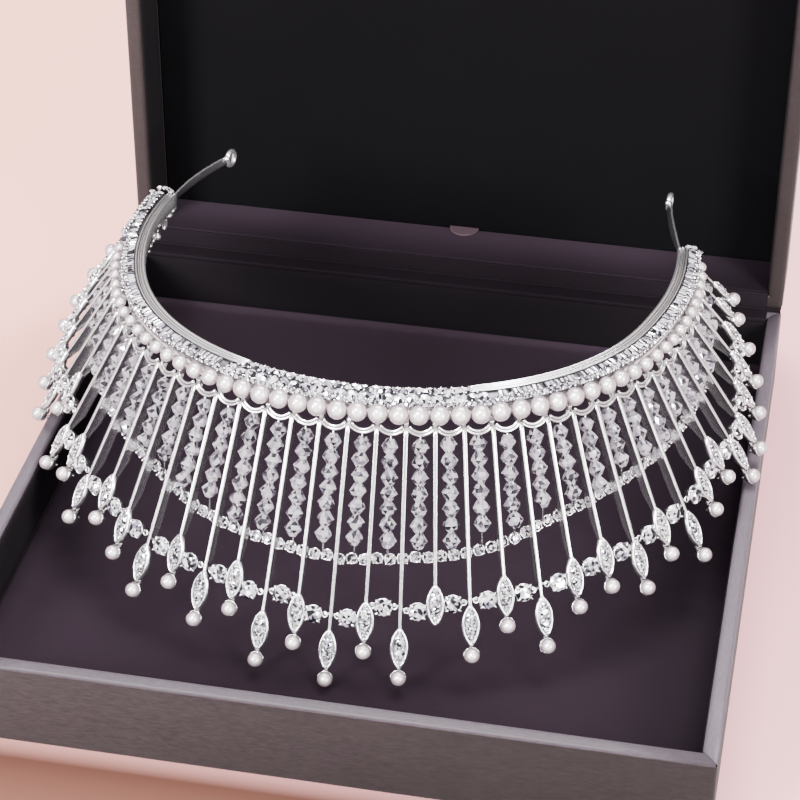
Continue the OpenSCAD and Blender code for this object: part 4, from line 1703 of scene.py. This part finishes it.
@dataclass
class PresentationBox:
    """The box: base and lid covered in satin, velvet insert, black lining and cloth tab."""

    cover: Finish
    lid_cover: Finish
    velvet: Finish
    lining: Finish
    ribbon: Finish
    # satin of the front and back and of the side rim strips, lighter than the cover: painted light
    rim_cover: tuple[Finish, Finish]
    # darker cloth on the inner walls and the back wall's flap: painted shade
    dark: Finish
    # velvet of the hinge strip: painted light and shade along Y
    strip_velvet: Finish
    # velvet in painted shade for the pieces at the hinge
    dark_velvet: Finish
    lid_wall: Finish
    edge: float = 0.9
    wall: float = 3.2

    @staticmethod
    def node_box(name: str) -> tuple[Array, Array]:
        """A CAD node's lowest and highest corners in mm."""
        low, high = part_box(name)
        return np.array(low) / MM, np.array(high) / MM

    def tray(self, half: Pair, height: float, wall: float, floor: float, rim: float) -> Shape:
        """A square tray about Z, open above, with rounded rim and corners.

        A profile of [inset, height] runs from under the base over the rim to the inside. Each of its points becomes a
        loop: a rounded square of the tray's size less the inset.

        Args:
            half: Half its width and depth.
            height: Its height.
            wall: Thickness of its walls.
            floor: Thickness of its floor.
            rim: Radius of the rim's edges.

        Returns:
            The tray.
        """
        e = self.edge
        bend = np.linspace(0, np.pi / 2, 5)
        low = np.stack([e * (1 - np.sin(bend)), e * (1 - np.cos(bend))], -1)
        rim_out = np.stack([rim * (1 - np.cos(bend)), height - rim * (1 - np.sin(bend))], -1)
        rim_in = np.stack([wall - rim * (1 - np.sin(bend)), height - rim * (1 - np.cos(bend))], -1)
        profile = np.concatenate([[(e + 2, 0)], low, rim_out, rim_in, [(wall, floor)]])
        corner = 0.9
        quarter = np.linspace(0, np.pi / 2, 6)
        angle = np.concatenate([quarter + i * np.pi / 2 for i in range(4)])
        centre = np.repeat([(1, 1), (-1, 1), (-1, -1), (1, -1)], 6, axis=0)
        inset, up = profile[:, :1], profile[:, 1:]
        radius = np.maximum(corner - inset, 0.15)
        x = centre[:, 0] * (half[0] - inset - radius) + radius * np.cos(angle)
        y = centre[:, 1] * (half[1] - inset - radius) + radius * np.sin(angle)
        return surface(np.stack([x, y, np.broadcast_to(up, x.shape)], -1))

    def base(self) -> Shape:
        """The base's shell up to its rim strips."""
        low, high = self.node_box("box_base")
        return self.tray((high[0], high[1]), high[2] - self.edge, self.wall, 3.0, 0.02)

    def rim(self, side: int) -> Shape:
        """One of the four strips that cover the base's rim, mitred at both ends, with a fine fold between two strips.

        Args:
            side: 0 for the front, then anticlockwise.

        Returns:
            The strip.
        """
        low, high = self.node_box("box_base")
        e, half, top = self.edge, high[0], high[2]
        bend = np.linspace(0, np.pi / 2, 5)
        inner = np.stack([self.wall - e * (1 - np.cos(bend)), top - e * (1 - np.sin(bend))], -1)
        outer = np.stack([e * (1 - np.cos(bend[::-1])), top - e * (1 - np.sin(bend[::-1]))], -1)
        inset, up = np.concatenate([inner, outer]).T
        x = np.linspace(-1, 1, 9)[:, None] * (half - np.maximum(inset, 0.3) - 0.07)
        points = np.stack(np.broadcast_arrays(x, inset - half, up), -1)
        return surface(points).moved(basis=spin(2, 90.0 * side))

    def linings(self, half: float, inside: float, low: float, high: float) -> list[Shape]:
        """Thin plates on three inner walls of a tray that lies about Z, open towards its fourth side.

        Args:
            half: Half the distance between the walls.
            inside: Half the length of the side walls.
            low: Lowest point of the plates.
            high: Their highest point.

        Returns:
            The plates on the left, the right and the front wall.
        """
        return [rounded((x - 0.15, -inside, low), (x + 0.15, inside, high), 0.1, 1) for x in (-half, half)] \
            + [rounded((-inside, -half - 0.15, low), (inside, -half + 0.15, high), 0.1, 1)]

    def lid(self) -> Shape:
        """The lid's shell: the same kind of tray, standing on its edge with its hollow to the front.

        Returns:
            The shell.
        """
        low, high = self.node_box("box_lid")
        half_x, half_z = (high[0] - low[0]) / 2, (high[2] - low[2]) / 2
        return self.stood(self.tray((half_x, half_z), high[1] - low[1], 3.6, 3.0, self.edge))

    def stood(self, shape: Shape) -> Shape:
        """Stands a shape of the lid, which lies about Z with its hollow up, on its edge behind the base.

        Args:
            shape: The shape.

        Returns:
            The shape in its place.
        """
        low, high = self.node_box("box_lid")
        stand = np.array([[1, 0, 0], [0, 0, -1], [0, 1, 0]], float)
        return shape.moved((0, high[1], (low[2] + high[2]) / 2), stand)

    def insert(self) -> Shape:
        """The velvet insert: its profile in YZ runs from the front edge along the floor and up the back wall.

        Returns:
            The insert.
        """
        low, high = self.node_box("velvet_tray")
        floor = 5.9
        turn = np.linspace(0, np.pi / 2, 6)
        radius, thick = 2.2, 1.0
        front = np.stack([low[1] + 0.8 * (1 - np.sin(turn[::-1])), floor - 0.8 * (1 - np.cos(turn[::-1]))], -1)
        corner = np.stack([high[1] - thick - radius + radius * np.sin(turn), floor + radius * (1 - np.cos(turn))], -1)
        head = np.array([(high[1] - thick, high[2] - 0.5), (high[1] - thick / 2, high[2]), (high[1], high[2] - 0.3)])
        profile = np.concatenate([np.array([(high[1], low[2]), (low[1], low[2])]), front,
                                  np.stack([np.linspace(low[1] + 2, corner[0, 0] - 2, 12), np.full(12, floor)], -1),
                                  corner, head])
        x = np.concatenate([[low[0], low[0] + 0.3], np.linspace(low[0] + 1, high[0] - 1, 9),
                            [high[0] - 0.3, high[0]]])
        shrink = np.interp(x, [x[0], x[1], x[2], x[-3], x[-2], x[-1]], [0.5, 0.15, 0, 0, 0.15, 0.5])
        rows = np.stack([np.broadcast_to(profile[:, 0], (len(x), len(profile))),
                         profile[None, :, 1] - shrink[:, None] * (profile[None, :, 1] > low[2] + 1)], -1)
        return sweep(x[:, None] * X_AXIS, Y_AXIS, Z_AXIS, rows[:, ::-1])

    def build(self) -> None:
        """Makes the box's pieces, each in the space of its CAD node."""
        piece(self.base(), "base_cover", self.cover, "box_cover", Body.BASE, "box_base")
        for side, name in enumerate(("rim_front", "rim_right", "rim_back", "rim_left")):
            piece(self.rim(side), name, self.rim_cover[side % 2], "box_cover", Body.BASE, "box_base")
        # Plates on the inner walls in dark cloth: their darkness is painted shade.
        inner = self.linings(75.97, 75.9, 6.0, 18.7)
        piece(Shape.join(inner), "base_wall_lining", self.dark, "velvet", Body.BASE)
        # The velvet at the hinge is in painted shade.
        lip = rounded((-75.9, 75.0, 19.3), (75.9, 79.25, 20.18), 0.3)
        piece(lip, "velvet_lip", self.dark_velvet, "velvet", Body.BASE)
        edge = Shape.join([rounded((-75.6, 79.34, 20.45), (75.6, 79.95, 24.6), 0.2),
                           rounded((-79.1, 79.77, 20.05), (79.1, 80.5, 21.0), 0.1, 1)])
        piece(edge, "velvet_edge", self.dark_velvet, "velvet", Body.LID)
        rod = np.linspace((-79.0, 79.45, 20.15), (79.0, 79.45, 20.15), 12)
        cloth = Shape.join([wire(rod, 0.29, 10), rounded((-79.1, 78.5, 19.0), (79.1, 79.13, 19.98), 0.1, 1),
                            rounded((-79.1, 79.33, 18.4), (79.1, 79.6, 19.9), 0.1, 1)])
        piece(cloth, "hinge_cloth", self.dark_velvet, "velvet", Body.BASE)
        # The back wall's flap in dark cloth: its darkness is painted shade.
        flap = rounded((-75.9, 74.65, 7.2), (75.9, 75.1, 19.2), 0.15, 1)
        piece(flap, "back_wall_cloth", self.dark, "velvet", Body.BASE)
        walls = Shape.join(self.linings(75.6, 75.3, 4.6, 17.2))
        hood = self.stood(walls.moved(basis=spin(0, 180) @ spin(1, 180)))
        piece(hood, "lid_wall_lining", self.lid_wall, "lining", Body.LID)
        piece(self.lid(), "lid_shell", self.lid_cover, "lid_cover", Body.LID, "box_lid")
        piece(self.insert(), "velvet_insert", self.velvet, "velvet", Body.BASE, "velvet_tray")
        piece(rounded(*self.node_box("lid_lining"), 0.35), "lining_panel", self.lining, "lining", Body.LID,
              "lid_lining")
        piece(rounded(*self.node_box("hinge_velvet"), 0.35), "hinge_strip", self.strip_velvet, "velvet", Body.LID,
              "hinge_velvet")
        piece(self.tab(), "ribbon_tab", self.ribbon, "tab_cloth", Body.LID, "lid_tab")

    def tab(self) -> Shape:
        """The half-round cloth tab: a half disc of ribbon with softened edges.

        Returns:
            The tab.
        """
        low, high = self.node_box("lid_tab")
        radius, middle = high[1] - low[1], (low[0] + high[0]) / 2
        angle = np.linspace(np.pi, FULL, 17)
        rim = np.stack([middle + radius * np.cos(angle), high[1] + radius * np.sin(angle)], -1)
        heights = np.array([low[2], low[2] + 0.1, high[2] - 0.1, high[2]])
        share = np.array([0.97, 1.0, 1.0, 0.97])
        centre = np.array([middle, high[1] - 0.02])
        rings = centre + (rim[None] - centre) * share[:, None, None]
        points = np.concatenate([rings, np.broadcast_to(heights[:, None, None], rings.shape[:2] + (1,))], -1)
        return surface(points)


# ---- the picture -----------------------------------------------------------------------------------


@dataclass(frozen=True)
class Studio:
    """Floor, lights and camera."""

    eye: Triple = (0.08907, -0.44824, 0.36412)
    target: Triple = (-0.00284, 0.02569, 0.020)
    lens: float = 117.68
    roll: float = 0.288
    paper: tuple[Triple, Triple] = ((0.98, 0.43, 0.30), (0.72, 0.345, 0.455))
    shade: Triple = (0.125, 0.050, 0.034)
    bounce: Triple = (0.62, 0.50, 0.50)

    def camera(self) -> None:
        """Sets the camera: it looks from eye to target and is rolled a little about that line."""
        data = bpy.data.cameras.new("camera")
        data.lens, data.sensor_width, data.clip_start = self.lens, 36.0, 0.01
        camera = bpy.data.objects.new("camera", data)
        back = (Vector(self.eye) - Vector(self.target)).normalized()
        right = Vector((0, 0, 1)).cross(back).normalized()
        up = back.cross(right)
        c, s = math.cos(math.radians(self.roll)), math.sin(math.radians(self.roll))
        right, up = c * right + s * up, c * up - s * right
        matrix = camera.matrix_world.copy()
        for i, column in enumerate((right, up, back, Vector(self.eye))):
            for row in range(3):
                matrix[row][i] = column[row]
        camera.matrix_world = matrix
        bpy.context.scene.collection.objects.link(camera)
        bpy.context.scene.camera = camera

    def light(self, name: str, azimuth: float, height: float, distance: float, size: Pair,
              power: float, glints: bool = False) -> None:
        """Adds a softbox that faces the box.

        Args:
            name: Its name.
            azimuth: Where it stands, in degrees to the right of the front.
            height: Its angle above the horizon, in degrees.
            distance: Its distance in metres.
            size: Its width and height in metres.
            power: Its power in watts.
            glints: Whether it only shows in what shines.
        """
        data = bpy.data.lights.new(name, "AREA")
        data.shape, data.size, data.size_y = "RECTANGLE", *size
        data.energy = power
        lamp = bpy.data.objects.new(name, data)
        lamp.visible_diffuse = not glints
        a, h = math.radians(azimuth), math.radians(height)
        place = Vector((math.sin(a) * math.cos(h), -math.cos(a) * math.cos(h), math.sin(h))) * distance
        aim = Vector((0, 0, 0.04))
        lamp.location = aim + place
        lamp.rotation_euler = place.to_track_quat("Z", "Y").to_euler()
        bpy.context.scene.collection.objects.link(lamp)

    def floor(self) -> None:
        """A wide pale pink floor, its far edge turned up in a wide curve, with a painted shadow just in front of the
        box.
        """
        y = np.concatenate([np.linspace(-2.5, 1.6, 12), 1.6 + 0.8 * np.sin(np.linspace(0.2, np.pi / 2, 8)), [2.4]])
        z = np.concatenate([np.zeros(12), 0.8 * (1 - np.cos(np.linspace(0.2, np.pi / 2, 8))), [3.0]])
        x = np.linspace(-3, 3, 9)
        points = np.stack(np.broadcast_arrays(x[None], y[:, None], z[:, None]), -1)
        number = np.arange(points.size // 3).reshape(points.shape[:2])
        faces = quads(number)
        mesh = bpy.data.meshes.new("floor")
        mesh.from_pydata(points.reshape(-1, 3).tolist(), [], faces.tolist())
        mesh.polygons.foreach_set("use_smooth", np.ones(len(faces), bool))
        d = Dressing("pink_paper")
        x, y = d.axis(0), d.axis(1)
        seen = d.mix((x * 2.2 + 0.5).clamped(), *self.paper)
        # Painted shadow: a soft brown patch on the floor just in front of the box, through this mask and the mix below.
        along = (x * -20.0 + 2.2).clamped() * (x * 9.0 + 1.7).clamped()
        seen = d.mix((y * -130.0 - 9.9).clamped() * (y * 11.0 + 2.2).clamped() * along, seen, self.shade)
        straight = d.node("ShaderNodeLightPath", output="Is Camera Ray")
        d.set(Base_Color=d.mix(straight, self.bounce, seen), Roughness=0.8, Specular_IOR_Level=0.1)
        mesh.materials.append(d.material)
        floor = bpy.data.objects.new("floor", mesh)
        bpy.context.scene.collection.objects.link(floor)

    def world(self) -> None:
        """A pale, even sky with a trace of pink."""
        world = bpy.data.worlds.new("studio")
        world.use_nodes = True
        background = world.node_tree.nodes["Background"]
        background.inputs["Color"].default_value = (1.0, 0.935, 0.96, 1)
        background.inputs["Strength"].default_value = 1.2
        bpy.context.scene.world = world

    def build(self) -> None:
        """Makes the whole studio."""
        self.camera()
        self.world()
        self.floor()
        self.light("left_softbox", -38, 22, 1.15, (0.34, 0.5), 32)
        self.light("right_softbox", 48, 22, 1.15, (0.34, 0.5), 25)
        self.light("back_softbox", 175, 62, 1.3, (1.0, 0.8), 62)
        self.light("front_softbox", -16, 54, 1.3, (0.36, 0.36), 90, True)


def main() -> None:
    """Builds the studio, the box and the crown."""
    logging.basicConfig(level=logging.INFO)
    rng = np.random.default_rng(20)
    silver = Silver().material("silver_plate")
    foiled = FoiledStone().material("foiled_stone")
    pearl = Pearl().material("cream_pearl")
    glass = Glass().material("cut_glass")
    # The rim strips' satin, lighter than the cover, and lighter still on the side strips: painted light.
    rim = SatinCover((0.036, 0.0285, 0.035), (0.070, 0.056, 0.068), right=1.0)
    side_rim = SatinCover((0.062, 0.050, 0.062), (0.100, 0.079, 0.098), (1, 0.2, 1), right=1.0)
    # The lid's satin, with painted shade to the right.
    lid_satin = SatinCover((0.022, 0.0155, 0.0155), (0.034, 0.0245, 0.0245), right=0.7)
    # The hinge strip's velvet: dark, and lighter along Y: painted light and shade.
    strip = Velvet((0.010, 0.0068, 0.0098), (0.015, 0.0104, 0.0146), (0.046, 0.032, 0.045), fade=(62.0, -4.8),
                   upright=0.0)
    # Velvet in painted shade for the lip, the edge and the cloth at the hinge.
    shaded = Velvet(far=(0.0095, 0.007, 0.0095), wall=(0.0115, 0.0088, 0.0112))
    Studio().build()
    PresentationBox(cover=SatinCover().material("taupe_satin"),
                    lid_cover=lid_satin.material("taupe_satin_lid"),
                    velvet=Velvet().material("aubergine_velvet"),
                    lining=PlainCloth().material("black_lining"),
                    ribbon=PlainCloth((0.070, 0.047, 0.057), (0.100, 0.068, 0.080)).material("plum_ribbon"),
                    rim_cover=(rim.material("rim_satin"), side_rim.material("rim_satin_side")),
                    dark=PlainCloth((0.0080, 0.0066, 0.0080), (0.0110, 0.0093, 0.0110)).material("dark_wall"),
                    strip_velvet=strip.material("strip_velvet"),
                    dark_velvet=shaded.material("shaded_velvet"),
                    lid_wall=PlainCloth((0.0105, 0.0095, 0.0105), (0.0145, 0.013, 0.0145)).material("lid_wall")
                    ).build()
    # Copies of the silver: darker and rougher for the tails and the seats, painted shade; lighter for the rails,
    # painted light.
    brushed = Silver((0.27, 0.26, 0.28), (0.26, 0.42)).material("brushed_silver")
    dull_and_shaded = Silver((0.14, 0.13, 0.15), (0.3, 0.45)).material("dull_shaded_silver")
    rail = Silver((1.0, 0.98, 0.99), (0.08, 0.2), turned=0.5, mirror=0.86).material("rail_silver")
    Band(silver, rail, brushed, dull_and_shaded, foiled, rng).build()
    Pearls(pearl, rng).build()
    Spikes(silver, foiled, rng).build()
    Garland(silver, foiled, rng).build()
    Strands(glass, silver, rng).build()
    InnerString(foiled, silver, rng).build()
    thread = PlainCloth((0.25, 0.2, 0.2), (0.35, 0.28, 0.28)).material("white_thread")
    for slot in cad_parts["pearl_thread"].material_slots:
        slot.material = thread


if __name__ == "__main__":
    main()
